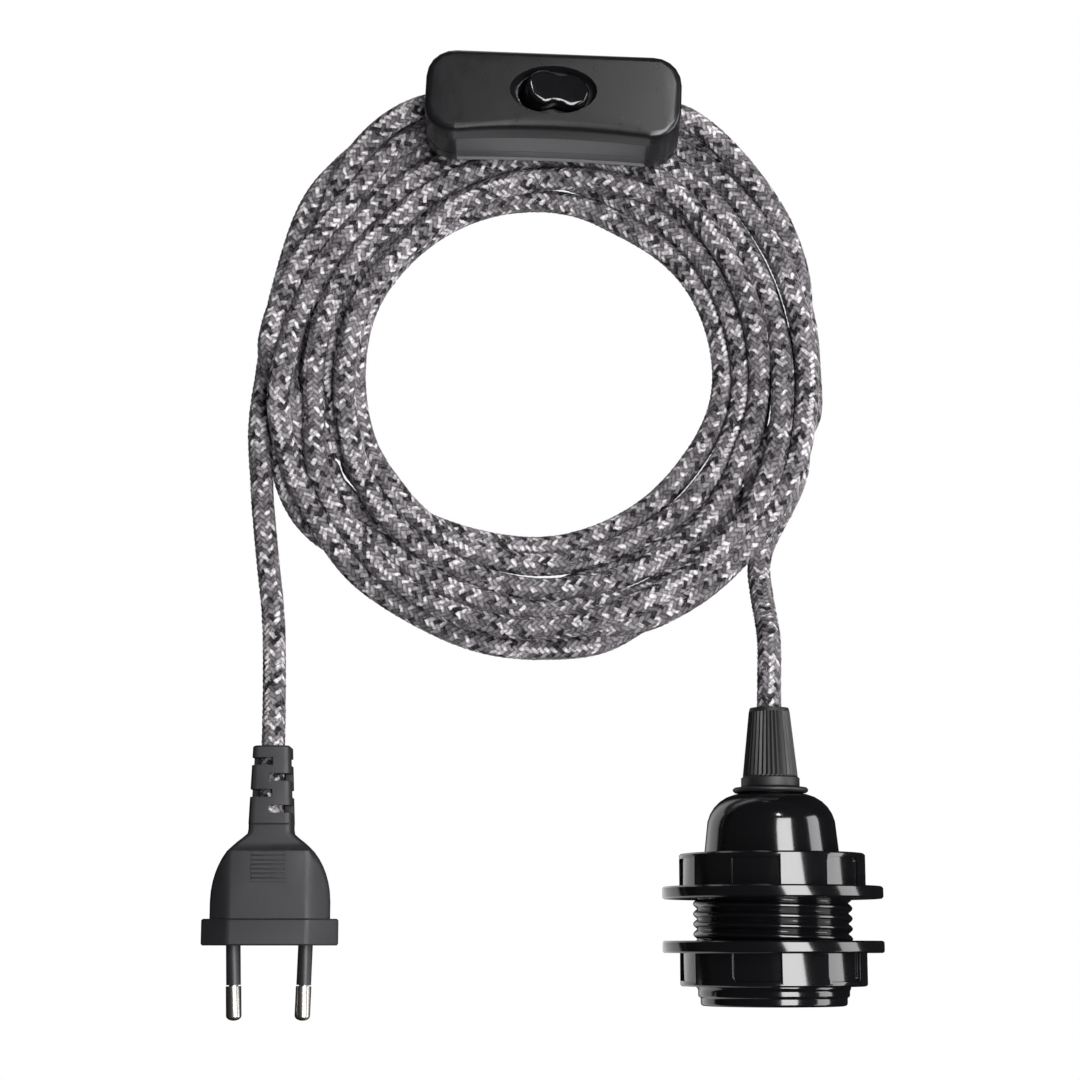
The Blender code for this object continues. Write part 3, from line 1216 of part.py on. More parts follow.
def build():
    clear_scene()
    gloss = finish("gloss black plastic", (0.012, 0.012, 0.013), 0.12)
    satin = finish("satin black plastic", (0.030, 0.031, 0.033), 0.45)
    grey = finish("satin grey-black plastic", (0.045, 0.045, 0.048), 0.5)
    rubber = finish("moulded plug plastic", (0.045, 0.046, 0.048), 0.55)
    ceramic = finish("white insulating block", (0.75, 0.74, 0.70), 0.4)
    brass = finish("brass", (0.66, 0.48, 0.20), 0.3, 1.0)
    steel = finish("zinc-plated steel", (0.62, 0.62, 0.64), 0.32, 1.0)
    nickel = finish("nickel plate", (0.72, 0.70, 0.66), 0.2, 1.0)
    insulation = finish("core insulation", (0.10, 0.16, 0.42), 0.5)
    braid = finish("braided cord cover", (0.22, 0.21, 0.21), 0.9)

    along_y = Matrix.Rotation(-math.pi / 2, 3, "X")
    holder = seat("holder_axis", (0.0, MOUTH_Y, FLANGE_RADIUS), along_y)
    lean = math.radians(SWITCH_LEAN_DEG)
    crest = COIL_OUTER_RADIUS - COIL_ROUNDING * (1 - math.sin(-lean))
    crest_height = COIL_HEIGHT - COIL_ROUNDING * (1 - math.cos(lean))
    crest_from_switch = crest - (SWITCH_CENTRE[1] - COIL_CENTRE[1])
    switch_rise = crest_height + GAP + crest_from_switch * math.tan(-lean)
    turn = Matrix.Rotation(math.radians(SWITCH_TURN_DEG), 3, "Z") @ Matrix.Rotation(lean, 3, "X")
    switch = seat("switch_seat", (*SWITCH_CENTRE, switch_rise), turn)
    plug = seat("plug_seat", (PLUG_CENTRE_X, PLUG_FACE_Y, PLUG_THICKNESS / 2), along_y)

    make_sleeve(holder, gloss)
    make_shade_ring("shade_ring_upper", holder, UPPER_RING_SEAT, 1, gloss)
    make_shade_ring("shade_ring_lower", holder, LOWER_RING_SEAT, -1, gloss)
    make_contact_block(holder, ceramic, brass, steel)
    make_dome(holder, gloss)
    make_cord_grip(holder, satin, steel)
    make_holder_wires(holder, insulation)

    top_housing = make_top_housing(switch, satin)
    bottom_housing = make_bottom_housing(switch, grey)
    make_switch_screws(switch, top_housing, bottom_housing, steel)
    make_rocker(switch, gloss, steel, grey)
    make_contacts(switch, brass, steel, insulation)
    make_cord_clamps(switch, bottom_housing, top_housing, grey, steel)

    body = make_plug_body(plug, rubber)
    make_plug_pins(plug, body, nickel, grey)

    make_coil(braid)
    bpy.context.view_layer.update()
    make_leads(switch, plug, braid)


build()
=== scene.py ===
"""The look of the pendant lampholder cord set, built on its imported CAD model."""

import math

import bpy
import numpy as np
from mathutils import Matrix, Vector


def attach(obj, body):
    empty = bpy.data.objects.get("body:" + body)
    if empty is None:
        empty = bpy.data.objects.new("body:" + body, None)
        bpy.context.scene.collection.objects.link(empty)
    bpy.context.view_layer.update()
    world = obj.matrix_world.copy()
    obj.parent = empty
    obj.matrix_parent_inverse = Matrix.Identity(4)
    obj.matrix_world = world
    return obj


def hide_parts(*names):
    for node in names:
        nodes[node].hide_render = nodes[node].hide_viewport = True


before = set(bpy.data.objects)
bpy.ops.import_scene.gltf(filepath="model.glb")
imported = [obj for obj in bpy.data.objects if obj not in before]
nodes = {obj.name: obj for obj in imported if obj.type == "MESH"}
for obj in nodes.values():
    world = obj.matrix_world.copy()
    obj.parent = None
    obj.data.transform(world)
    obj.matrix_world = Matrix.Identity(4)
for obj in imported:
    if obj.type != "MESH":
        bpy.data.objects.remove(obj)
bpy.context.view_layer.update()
scene = bpy.context.scene

# Camera
# The set lies on a table and is seen from 0.6 m above, tipped back by 10 degrees. The focal length, in
# pixels of a picture 1080 wide, gives the lens.
CAMERA_PLACE = (-0.0580, -0.0228, 0.6160)
CAMERA_TILT = math.radians(9.93)
FOCAL_PIXELS, PICTURE_PIXELS = 2330.0, 1080.0
SENSOR_WIDTH = 36.0

camera_data = bpy.data.cameras.new("camera")
camera_data.sensor_width = SENSOR_WIDTH
camera_data.lens = SENSOR_WIDTH * FOCAL_PIXELS / PICTURE_PIXELS
camera = bpy.data.objects.new("camera", camera_data)
camera.location = CAMERA_PLACE
camera.rotation_euler = (CAMERA_TILT, 0, 0)
scene.collection.objects.link(camera)
scene.camera = camera

# The two cords
# Round flexible cords of two insulated cores under a woven braid. One is gripped by the lampholder's
# nut and clamped in the switch's right end, the other is clamped in the switch's left end and moulded
# into the plug. Both lie in one coil. Lengths are in mm.
MM = 0.001
CORD_RADIUS = 3.1
COIL_CENTRE = (-57.8, 130.0)

# A row is an angle round the coil in degrees, which counts on from turn to turn, a radius, a height,
# and how firmly the point holds its place while the strands settle on one another.
HOLDER_CORD_TURNS = (
    (318, 76.0, 3.1, 1), (326, 75.2, 3.1, 1), (338, 73.0, 3.1, 1), (347, 70.5, 3.1, 1),
    (360, 66.0, 3.1, .3), (390, 64.5, 3.1, .1), (420, 65.5, 3.1, .1), (450, 69.5, 3.1, .3),
    (472, 72.5, 3.1, .5), (490, 72.0, 3.1, .5), (510, 68.5, 3.1, .3), (540, 64.0, 3.1, .3),
    (565, 59.5, 3.1, .3), (582, 54.5, 3.1, .6), (595, 51.2, 3.1, 1), (606, 49.3, 3.1, 1),
    (622, 47.9, 3.1, 1), (640, 47.4, 3.1, 1), (669, 46.9, 3.1, 1), (700, 48.2, 3.1, 1),
    (720, 49.6, 3.1, 1), (745, 49.6, 3.1, 1), (770, 49.3, 3.1, 1), (795, 48.8, 3.1, 1),
    (820, 49.0, 3.1, 1), (840, 50.2, 3.1, 1), (866, 50.6, 3.1, 1), (886, 50.8, 3.1, 1),
    (916, 52.3, 4.5, 1), (935, 52.6, 7.5, 1), (955, 52.6, 9.0, 1), (975, 52.4, 8.6, 1),
    (995, 52.8, 8.0, 1), (1020, 53.0, 7.5, 1), (1040, 54.2, 7.5, 1), (1060, 55.0, 7.8, 1),
    (1080, 54.2, 7.8, 1), (1105, 53.2, 7.8, 1), (1125, 53.2, 6.8, 1), (1145, 53.8, 4.6, .8),
    (1165, 55.0, 3.1, .4), (1190, 56.6, 3.1, .2), (1224, 57.2, 3.1, .3), (1240, 58.4, 3.1, .5),
    (1261, 59.8, 3.1, .5), (1287, 62.0, 3.1, .5), (1305, 63.4, 3.1, .5), (1322, 64.4, 3.1, .3),
    (1340, 62.5, 3.1, .3), (1358, 59.8, 3.1, .3), (1378, 58.2, 3.1, .3), (1405, 57.8, 3.1, .2),
    (1440, 58.3, 3.1, .1), (1470, 58.5, 4.0, .1), (1490, 57.0, 6.0, .4), (1515, 54.8, 8.4, 1),
    (1535, 52.6, 9.0, 1), (1555, 50.9, 9.3, 1), (1590, 51.1, 9.3, 1), (1605, 51.4, 9.2, 1),
    (1620, 52.2, 9.0, 1), (1640, 54.2, 8.6, 1), (1665, 56.8, 8.4, 1), (1680, 58.2, 8.4, 1),
    (1705, 60.0, 8.4, 1), (1725, 60.4, 8.4, 1), (1755, 60.2, 8.4, 1), (1780, 59.2, 9.0, 1),
    (1800, 58.6, 12.0, 1), (1822, 58.6, 12.5, 1), (1847, 60.6, 10.5, 1), (1862, 61.3, 9.4, 1),
    (1877, 61.1, 9.0, 1), (1892, 60.2, 8.6, 1), (1905, 58.6, 8.6, 1), (1917, 57.2, 8.6, 1),
    (1930, 57.0, 8.6, 1), (1944, 57.8, 8.6, 1), (1959, 59.3, 8.6, 1), (1974, 61.0, 8.6, 1),
    (1988, 62.9, 8.6, 1), (2003, 65.2, 8.6, 1), (2018, 66.8, 8.8, 1), (2040, 68.2, 9.5, 1),
    (2057, 69.6, 11.0, 1), (2070, 69.9, 12.5, 1), (2086, 69.8, 12.5, 1), (2108, 68.8, 13.0, 1),
    (2123, 68.0, 13.0, 1), (2138, 67.0, 13.0, 1), (2152, 65.4, 12.8, 1), (2165, 64.3, 12.5, 1),
    (2182, 64.4, 11.5, 1), (2200, 64.9, 10.0, 1), (2220, 65.5, 8.8, .6), (2250, 65.3, 8.6, .3),
    (2275, 64.0, 8.6, 1), (2300, 64.4, 8.6, 1), (2319, 66.2, 8.6, 1), (2334, 68.3, 8.6, 1),
    (2348, 69.5, 8.4, 1), (2363, 70.6, 7.5, 1), (2378, 71.6, 6.0, 1), (2395, 72.6, 4.2, 1),
    (2410, 73.8, 3.3, 1), (2424, 74.9, 3.1, 1), (2439, 73.6, 3.3, 1), (2448, 72.4, 4.0, .8),
    (2462, 71.0, 5.5, .4), (2480, 69.8, 7.5, .2), (2500, 69.5, 8.4, .2), (2515, 69.6, 8.6, .3),
    (2528, 71.0, 8.8, 1), (2540, 73.3, 9.6, 1), (2551, 75.3, 11.3, 1), (2561, 76.8, 13.4, 1),
    (2570, 77.8, 15.6, 1),
)
PLUG_CORD_TURNS = (
    (124, 78.6, 14.6, 1), (131, 77.0, 12.0, 1), (138, 74.8, 8.5, 1), (145, 72.8, 5.0, .6),
    (155, 71.3, 3.2, .2), (180, 72.0, 3.1, .1), (210, 71.5, 3.1, .1), (240, 69.5, 3.1, .1),
    (270, 69.5, 3.1, .1), (285, 71.0, 5.0, .3), (297, 72.4, 7.5, 1), (310, 72.6, 9.0, 1),
    (330, 72.2, 11.5, 1), (345, 71.4, 13.0, 1), (360, 70.6, 13.5, 1), (382, 71.2, 12.5, 1),
    (400, 71.7, 11.0, 1), (420, 72.1, 9.2, 1), (450, 73.0, 8.8, .7), (470, 74.0, 8.8, 1),
    (486, 73.0, 8.6, 1), (502, 70.2, 7.5, .6), (520, 68.4, 6.0, .2), (540, 67.6, 4.0, .1),
    (570, 67.0, 4.0, .1), (600, 67.0, 5.5, .2), (630, 67.0, 8.0, .5), (660, 68.0, 8.0, .5),
    (690, 69.5, 5.5, .3), (705, 70.6, 3.6, .5), (720, 71.8, 3.1, 1), (740, 73.4, 3.1, 1),
    (760, 75.6, 3.1, 1), (780, 77.2, 3.1, 1), (810, 79.2, 3.1, 1), (832, 80.6, 3.1, 1),
    (845, 80.4, 3.1, 1), (860, 78.4, 3.1, 1), (872, 75.6, 3.1, 1), (882, 73.4, 3.1, 1),
    (893, 72.4, 3.1, 1), (902, 73.0, 3.1, 1), (909, 74.6, 3.1, 1), (916, 77.2, 3.1, 1),
    (923, 80.6, 3.1, 1),
)

# The leads outside the coil, as x, y, z: out of the lampholder and down, and along the table to the
# plug. These points stay where they are.
HOLDER_CORD_START = (
    (0.0, 10.6, 27.5), (0.0, 20.0, 27.5), (0.0, 28.95, 27.5), (0.0, 36.95, 27.5), (0.2, 44.0, 26.8),
    (0.6, 50.4, 24.2), (1.0, 56.5, 19.0), (1.1, 62.3, 11.5), (0.7, 68.3, 6.4), (0.2, 74.5, 3.8),
)
PLUG_CORD_END = (
    (-132.4, 96.2, 3.15), (-130.6, 79.1, 3.15), (-128.7, 62.9, 3.4), (-127.9, 45.0, 5.6),
    (-127.7, 36.0, 6.7), (-127.7, 29.0, 6.85), (-127.7, 10.0, 6.85),
)

# The switch lies on the coil and leans on it. Each cord enters it on its own long axis.
SWITCH_PLACE = (-54.5, 198.6, 12.224)
SWITCH_TURN, SWITCH_LEAN = math.radians(-2.35), math.radians(-8.0)
SWITCH_HALF_LENGTH, SWITCH_NEAR, SWITCH_FAR = 34.0, -14.0, 11.4
CORD_IN_SWITCH, CORD_SEAT = (35.0, 28.0, 20.5), 5.0
SWITCH_CLEARANCE, NO_CEILING = 0.2, 1000.0
switch_frame = (
    Matrix.Translation(Vector(SWITCH_PLACE)) @ Matrix.Rotation(SWITCH_TURN, 4, "Z")
    @ Matrix.Rotation(SWITCH_LEAN, 4, "X")
)

# In each round of settling the free points are drawn to their place, sink, straighten, and are pushed
# out of the strands that they touch. Firm points yield less, and fixed ones not at all.
CURVE_POINTS, SETTLE_STEP = 24, 4.0
ROUNDS, QUICK_ROUNDS, SEARCH_EVERY, PUSHES_A_ROUND = 320, 60, 8, 3
FIXED_HOLD, FIXED_ABOVE, FIRM_ABOVE, FIRM_YIELD = 5.0, 3.0, 0.7, 0.25
DRAW, DRAW_FADES, DRAW_IN_HEIGHT = 0.08, 0.6, 0.5
SINK, STRAIGHTEN, PUSH = 0.035, 0.10, 0.336
PRESSED_WIDTH, OWN_NEIGHBOURS, TINY = 0.93, 5, 1e-6


def round_the_coil(turns):
    """Rows of x, y, z, hold from rows of angle, radius, height, hold."""
    rows = np.array(turns, float)
    angle = np.radians(rows[:, 0])
    x = COIL_CENTRE[0] + rows[:, 1] * np.cos(angle)
    y = COIL_CENTRE[1] + rows[:, 1] * np.sin(angle)
    return np.stack([x, y, rows[:, 2], rows[:, 3]], 1)


def fixed(points):
    """Rows that stay where they are."""
    return np.array([(*p, FIXED_HOLD) for p in points], float)


def even_steps(rows, step):
    """Reads a curve through the rows at even steps of its length."""
    rows = np.vstack([2 * rows[0] - rows[1], rows, 2 * rows[-1] - rows[-2]])
    t = np.linspace(0, 1, CURVE_POINTS, endpoint=False)[:, None]
    fine = []
    for a, b, c, d in zip(rows, rows[1:], rows[2:], rows[3:]):
        straight = 2 * b + (c - a) * t
        bend = (2 * a - 5 * b + 4 * c - d) * t ** 2
        turn_back = (3 * b - a - 3 * c + d) * t ** 3
        fine.append(0.5 * (straight + bend + turn_back))
    fine = np.vstack([*fine, rows[-2:-1]])
    run = np.concatenate([[0], np.cumsum(np.linalg.norm(np.diff(fine[:, :3], axis=0), axis=1))])
    count = max(2, round(run[-1] / step))
    marks = np.linspace(0, run[-1], count + 1)
    return np.stack([np.interp(marks, run, fine[:, k]) for k in range(fine.shape[1])], 1)


def under_switch(x, y):
    """Height of the switch's underside over each point, or a great height beside it."""
    dx, dy = x - SWITCH_PLACE[0], y - SWITCH_PLACE[1]
    along = dx * math.cos(SWITCH_TURN) + dy * math.sin(SWITCH_TURN)
    across = (dy * math.cos(SWITCH_TURN) - dx * math.sin(SWITCH_TURN)) / math.cos(SWITCH_LEAN)
    height = SWITCH_PLACE[2] + across * math.sin(SWITCH_LEAN)
    inside = (np.abs(along) < SWITCH_HALF_LENGTH) & (across > SWITCH_NEAR) & (across < SWITCH_FAR)
    return np.where(inside, height, NO_CEILING)


def settle(first, second, rounds):
    """Lets two cords, as rows of x, y, z, hold, push apart where they touch, and sink on the floor."""
    rows = np.vstack([first, second])
    split, count = len(first), len(rows)
    aim, hold, place = rows[:, :3], rows[:, 3], rows[:, :3].copy()
    of_second = np.arange(count) >= split
    starts = np.setdiff1d(np.arange(count), [split - 1, count - 1])
    free = np.where(hold > FIXED_ABOVE, 0.0, 1.0)
    yields = free * np.where(hold > FIRM_ABOVE, FIRM_YIELD, 1.0)
    width = 2 * CORD_RADIUS
    gap = width * PRESSED_WIDTH
    for step in range(rounds):
        if step % SEARCH_EVERY == 0:
            middle = 0.5 * (place[starts] + place[starts + 1])
            near = ((place[:, None] - middle[None]) ** 2).sum(2) < (width + SETTLE_STEP) ** 2
            point, piece = np.nonzero(near)
            piece = starts[piece]
            same = (of_second[point] == of_second[piece]) & (np.abs(point - piece) < OWN_NEIGHBOURS)
            point, piece = point[~same], piece[~same]
        draw = DRAW * hold * free * (1 - DRAW_FADES * step / rounds)
        place += (aim - place) * draw[:, None] * (1.0, 1.0, DRAW_IN_HEIGHT)
        place[:, 2] -= SINK * free
        for low, high in ((0, split), (split, count)) * 2:
            c = place[low:high]
            stiff = -c[:-4] + 4 * c[1:-3] - 6 * c[2:-2] + 4 * c[3:-1] - c[4:]
            place[low + 2:high - 2] = c[2:-2] + stiff * STRAIGHTEN * free[low + 2:high - 2, None]
        for _ in range(PUSHES_A_ROUND):
            a, b, p = place[piece], place[piece + 1], place[point]
            line = b - a
            t = np.clip(((p - a) * line).sum(1) / (line * line).sum(1), 0, 1)
            apart = p - (a + line * t[:, None])
            distance = np.linalg.norm(apart, axis=1)
            hit = distance < gap
            away = apart[hit] / np.maximum(distance[hit], TINY)[:, None]
            i, j, t = point[hit], piece[hit], t[hit]
            at_i, at_j, at_k = yields[i], yields[j] * (1 - t), yields[j + 1] * t
            share = PUSH * (gap - distance[hit]) / np.maximum(at_i + at_j * (1 - t) + at_k * t, TINY)
            push = np.zeros_like(place)
            np.add.at(push, i, away * (share * at_i)[:, None])
            np.add.at(push, j, -away * (share * at_j)[:, None])
            np.add.at(push, j + 1, -away * (share * at_k)[:, None])
            place += push
            ceiling = under_switch(place[:, 0], place[:, 1]) - CORD_RADIUS - SWITCH_CLEARANCE
            height = np.clip(place[:, 2], CORD_RADIUS, np.maximum(ceiling, CORD_RADIUS))
            place[:, 2] = np.where(free > 0, height, place[:, 2])
    return place[:split], place[split:]


into_switch = [switch_frame @ Vector((x, 0.0, CORD_SEAT)) for x in CORD_IN_SWITCH]
out_of_switch = [switch_frame @ Vector((-x, 0.0, CORD_SEAT)) for x in reversed(CORD_IN_SWITCH)]
holder_rows = [fixed(HOLDER_CORD_START), round_the_coil(HOLDER_CORD_TURNS), fixed(into_switch)]
plug_rows = [fixed(out_of_switch), round_the_coil(PLUG_CORD_TURNS), fixed(PLUG_CORD_END)]
holder_line, plug_line = settle(
    even_steps(np.vstack(holder_rows), SETTLE_STEP), even_steps(np.vstack(plug_rows), SETTLE_STEP),
    ROUNDS,
)

# Braid
# Grey, black and white yarns that a braiding machine weaves round the cord. Twelve wind each way, over
# two and under two, so that the slanting stretches that show stand in rows along the cord. The material
# draws the weave, with painted shade towards the edges and ends of each stretch and a painted sheen
# along the cord's outline, and the tube has its relief and loose fibre ends.
YARNS, YARN_LAY = 12, 19.5
CORD_SIDES = 2 * YARNS
RING_STEP = YARN_LAY / CORD_SIDES
YARN_RELIEF, YARN_UNEVENNESS = 0.16, 0.03
YARN_WOBBLE, YARN_BUMP = 0.055, 0.00035
YARN_REPEAT, RIGHT_YARNS_FROM = 60, 20.0
WHITE_FROM, BLACK_FROM = 0.70, 0.82
YARN_BLACK, YARN_WHITE = (0.008, 0.007, 0.008, 1.0), (0.58, 0.55, 0.57, 1.0)
YARN_GREYS = ((0.066, 0.061, 0.067, 1.0), (0.235, 0.219, 0.237, 1.0))
# The colour and share of a painted sheen along the cord's outline.
PAINTED_SHEEN_COLOUR, PAINTED_SHEEN_SHARE = (0.56, 0.54, 0.55, 1.0), 0.32
FUZZ_GREYS = ((0.10, 0.097, 0.10, 1.0), (0.62, 0.60, 0.61, 1.0))
FIBRES_A_RING, FIBRE_DEPTH, FIBRE_WIDTH, FIBRE_LENGTHS = 12, 0.12, 0.03, (0.15, 0.62)
FIBRE_LEAN_ALONG, FIBRE_LEAN_AROUND = 0.8, 0.5
chance = np.random.default_rng(11)


class Wire:
    """One output of a shader node. Arithmetic on wires adds Math nodes."""

    def __init__(self, tree, socket):
        self.tree = tree
        self.socket = socket

    def node(self, kind, inputs=(), output=0, **settings):
        """Adds a node to this tree, feeds it wires or plain values, and returns one of its outputs."""
        made = self.tree.nodes.new(kind)
        for name, value in settings.items():
            setattr(made, name, value)
        for key, value in dict(inputs).items():
            if isinstance(value, Wire):
                self.tree.links.new(value.socket, made.inputs[key])
            else:
                made.inputs[key].default_value = value
        return Wire(self.tree, made.outputs[output])

    def math(self, operation, *values):
        return self.node("ShaderNodeMath", enumerate(values), operation=operation)

    def __add__(self, other):
        return self.math("ADD", self, other)

    def __radd__(self, other):
        return self.math("ADD", other, self)

    def __sub__(self, other):
        return self.math("SUBTRACT", self, other)

    def __rsub__(self, other):
        return self.math("SUBTRACT", other, self)

    def __mul__(self, other):
        return self.math("MULTIPLY", self, other)

    def __rmul__(self, other):
        return self.math("MULTIPLY", other, self)

    def __truediv__(self, other):
        return self.math("DIVIDE", self, other)

    def __mod__(self, other):
        return self.math("FLOORED_MODULO", self, other)

    def floor(self):
        return self.math("FLOOR", self)

    def size(self):
        return self.math("ABSOLUTE", self)

    def above(self, level):
        """1 above the level and 0 below it."""
        return self.math("GREATER_THAN", self, level)

    def between(self, low, high):
        """0 below low, 1 above high, and smooth between them."""
        levels = {0: self, 1: low, 2: high, 3: 0.0, 4: 1.0}
        return self.node("ShaderNodeMapRange", levels, interpolation_type="SMOOTHSTEP")

    def scaled(self, low, high):
        """0 to 1 becomes low to high."""
        return self.node("ShaderNodeMapRange", {0: self, 1: 0.0, 2: 1.0, 3: low, 4: high})

    def noise(self, scale, detail=2.0, roughness=0.5, stretch=None):
        """Noise from 0 to 1 over this wire's points; scale is per metre."""
        where = self
        if stretch:
            where = self.node("ShaderNodeMapping", {"Vector": self, "Scale": stretch})
        settings = {"Vector": where, "Scale": scale, "Detail": detail, "Roughness": roughness}
        return self.node("ShaderNodeTexNoise", settings)

    def blend(self, first, second):
        """The first colour at 0 and the second at 1."""
        return self.node("ShaderNodeMix", {0: self, 6: first, 7: second}, output=2, data_type="RGBA")


def new_material(name):
    """A material with its Principled shader, and the points of its objects as a wire."""
    material = bpy.data.materials.new(name)
    material.use_nodes = True
    tree = material.node_tree
    shader = tree.nodes["Principled BSDF"]
    points = Wire(tree, tree.nodes.new("ShaderNodeTexCoord").outputs["Object"])
    return material, shader, points


def join(shader, **wires):
    """Feeds the shader's inputs, named with _ for a space, with wires or plain values."""
    for name, value in wires.items():
        socket = shader.inputs[name.replace("_", " ")]
        if isinstance(value, Wire):
            value.tree.links.new(value.socket, socket)
        else:
            socket.default_value = value


def raised(height, distance):
    """A bump from a height of 0 to 1, distance metres high."""
    return height.node("ShaderNodeBump", {"Height": height, "Distance": distance})


def braid_material():
    """Yarns that cross under and over, each a row of stretches that chance makes grey, black or white."""
    material, shader, points = new_material("braid")
    woven = Wire(points.tree, points.tree.nodes.new("ShaderNodeUVMap").outputs[0])
    woven.socket.node.uv_map = "braid"
    turn, run = (woven.node("ShaderNodeSeparateXYZ", {0: woven}, output=k) for k in range(2))
    turn = turn + (points.noise(750.0, detail=1.0) - 0.5) * YARN_WOBBLE
    run = run + (points.noise(820.0, detail=1.0) - 0.5) * YARN_WOBBLE
    left, right = (turn + run) * YARNS, (turn - run) * YARNS
    left_yarn, right_yarn = left.floor(), right.floor()
    # Crossings with the same sum of their yarns' numbers stand in a row along the cord. Of every four
    # such rows, the left yarns are on top in two, and the right yarns in the next two.
    row = (left_yarn + right_yarn) / 4.0
    left_over = 1.0 - (row - row.floor()).above(0.4)
    rows = row.floor() * 2.0

    def upper(of_left, of_right):
        """The value of the yarn that lies on top."""
        return of_right + (of_left - of_right) * left_over

    yarn = upper(left_yarn % YARNS, right_yarn % YARNS + RIGHT_YARNS_FROM)
    place = upper(left_yarn - rows, rows - right_yarn) % YARN_REPEAT
    across = upper(left % 1.0, right % 1.0) - 0.5
    along = upper((right + left_yarn) % 4.0, (left + right_yarn) % 4.0 - 2.0) / 2.0 - 0.5

    def chance_of(stretch, seed):
        """An even chance from 0 to 1 for each yarn, or for each stretch of it."""
        where = points.node("ShaderNodeCombineXYZ", {0: yarn, 1: stretch, 2: seed})
        return where.node("ShaderNodeTexWhiteNoise", {0: where}, noise_dimensions="3D")

    white = (chance_of(place, 3.0) * 0.7 + chance_of(0.0, 1.0) * 0.3).above(WHITE_FROM)
    black = chance_of(place, 7.0).above(BLACK_FROM)
    mottle = points.noise(620.0, detail=2.0)
    twist = points.noise(2600.0, detail=1.0)
    torn = points.noise(900.0, detail=2.0).between(0.44, 0.56)
    colour = chance_of(place, 5.0).blend(*YARN_GREYS)
    colour = (black * (1.0 - torn * 0.20)).blend(colour, YARN_BLACK)
    colour = (white * (1.0 - torn * 0.60)).blend(colour, YARN_WHITE)
    round_yarn = (1.0 - across * across * 2.8) * (1.0 - along * along * 2.2)
    # Painted shade: light darkens each stretch towards its edges and ends, where it dips under its
    # neighbours, and mottle and twist vary its tone at random.
    light = round_yarn.scaled(0.10, 1.0) * mottle.scaled(0.60, 1.40) * twist.scaled(0.70, 1.30)
    colour_with_painted_shade = light.node("ShaderNodeVectorMath", {0: colour, "Scale": light}, operation="SCALE")
    # Painted sheen: the colour turns light grey where the cord's surface turns away towards its outline.
    painted_rim_sheen = points.node("ShaderNodeLayerWeight", {"Blend": 0.35}, output=1).between(0.72, 0.96)
    join(
        shader,
        Base_Color=(painted_rim_sheen * PAINTED_SHEEN_SHARE).blend(colour_with_painted_shade, PAINTED_SHEEN_COLOUR),
        Roughness=0.88,
        Specular_IOR_Level=0.25,
        Normal=raised(round_yarn * 0.75 + twist * 0.25, YARN_BUMP),
    )
    return material


BRAID = braid_material()
FUZZ, shader, points = new_material("braid_fuzz")
shade = points.noise(700.0, detail=1.0).between(0.40, 0.60)
join(shader, Base_Color=shade.blend(*FUZZ_GREYS), Roughness=0.9)


def dress(obj, *materials):
    obj.data.materials.clear()
    for material in materials:
        obj.data.materials.append(material)


def add_mesh(name, points, faces, *materials):
    """A smooth mesh object at the origin, from points in mm."""
    mesh = bpy.data.meshes.new(name)
    mesh.from_pydata([tuple(p) for p in (points * MM).tolist()], [], faces)
    mesh.polygons.foreach_set("use_smooth", [True] * len(mesh.polygons))
    obj = bpy.data.objects.new(name, mesh)
    scene.collection.objects.link(obj)
    dress(obj, *materials)
    return obj


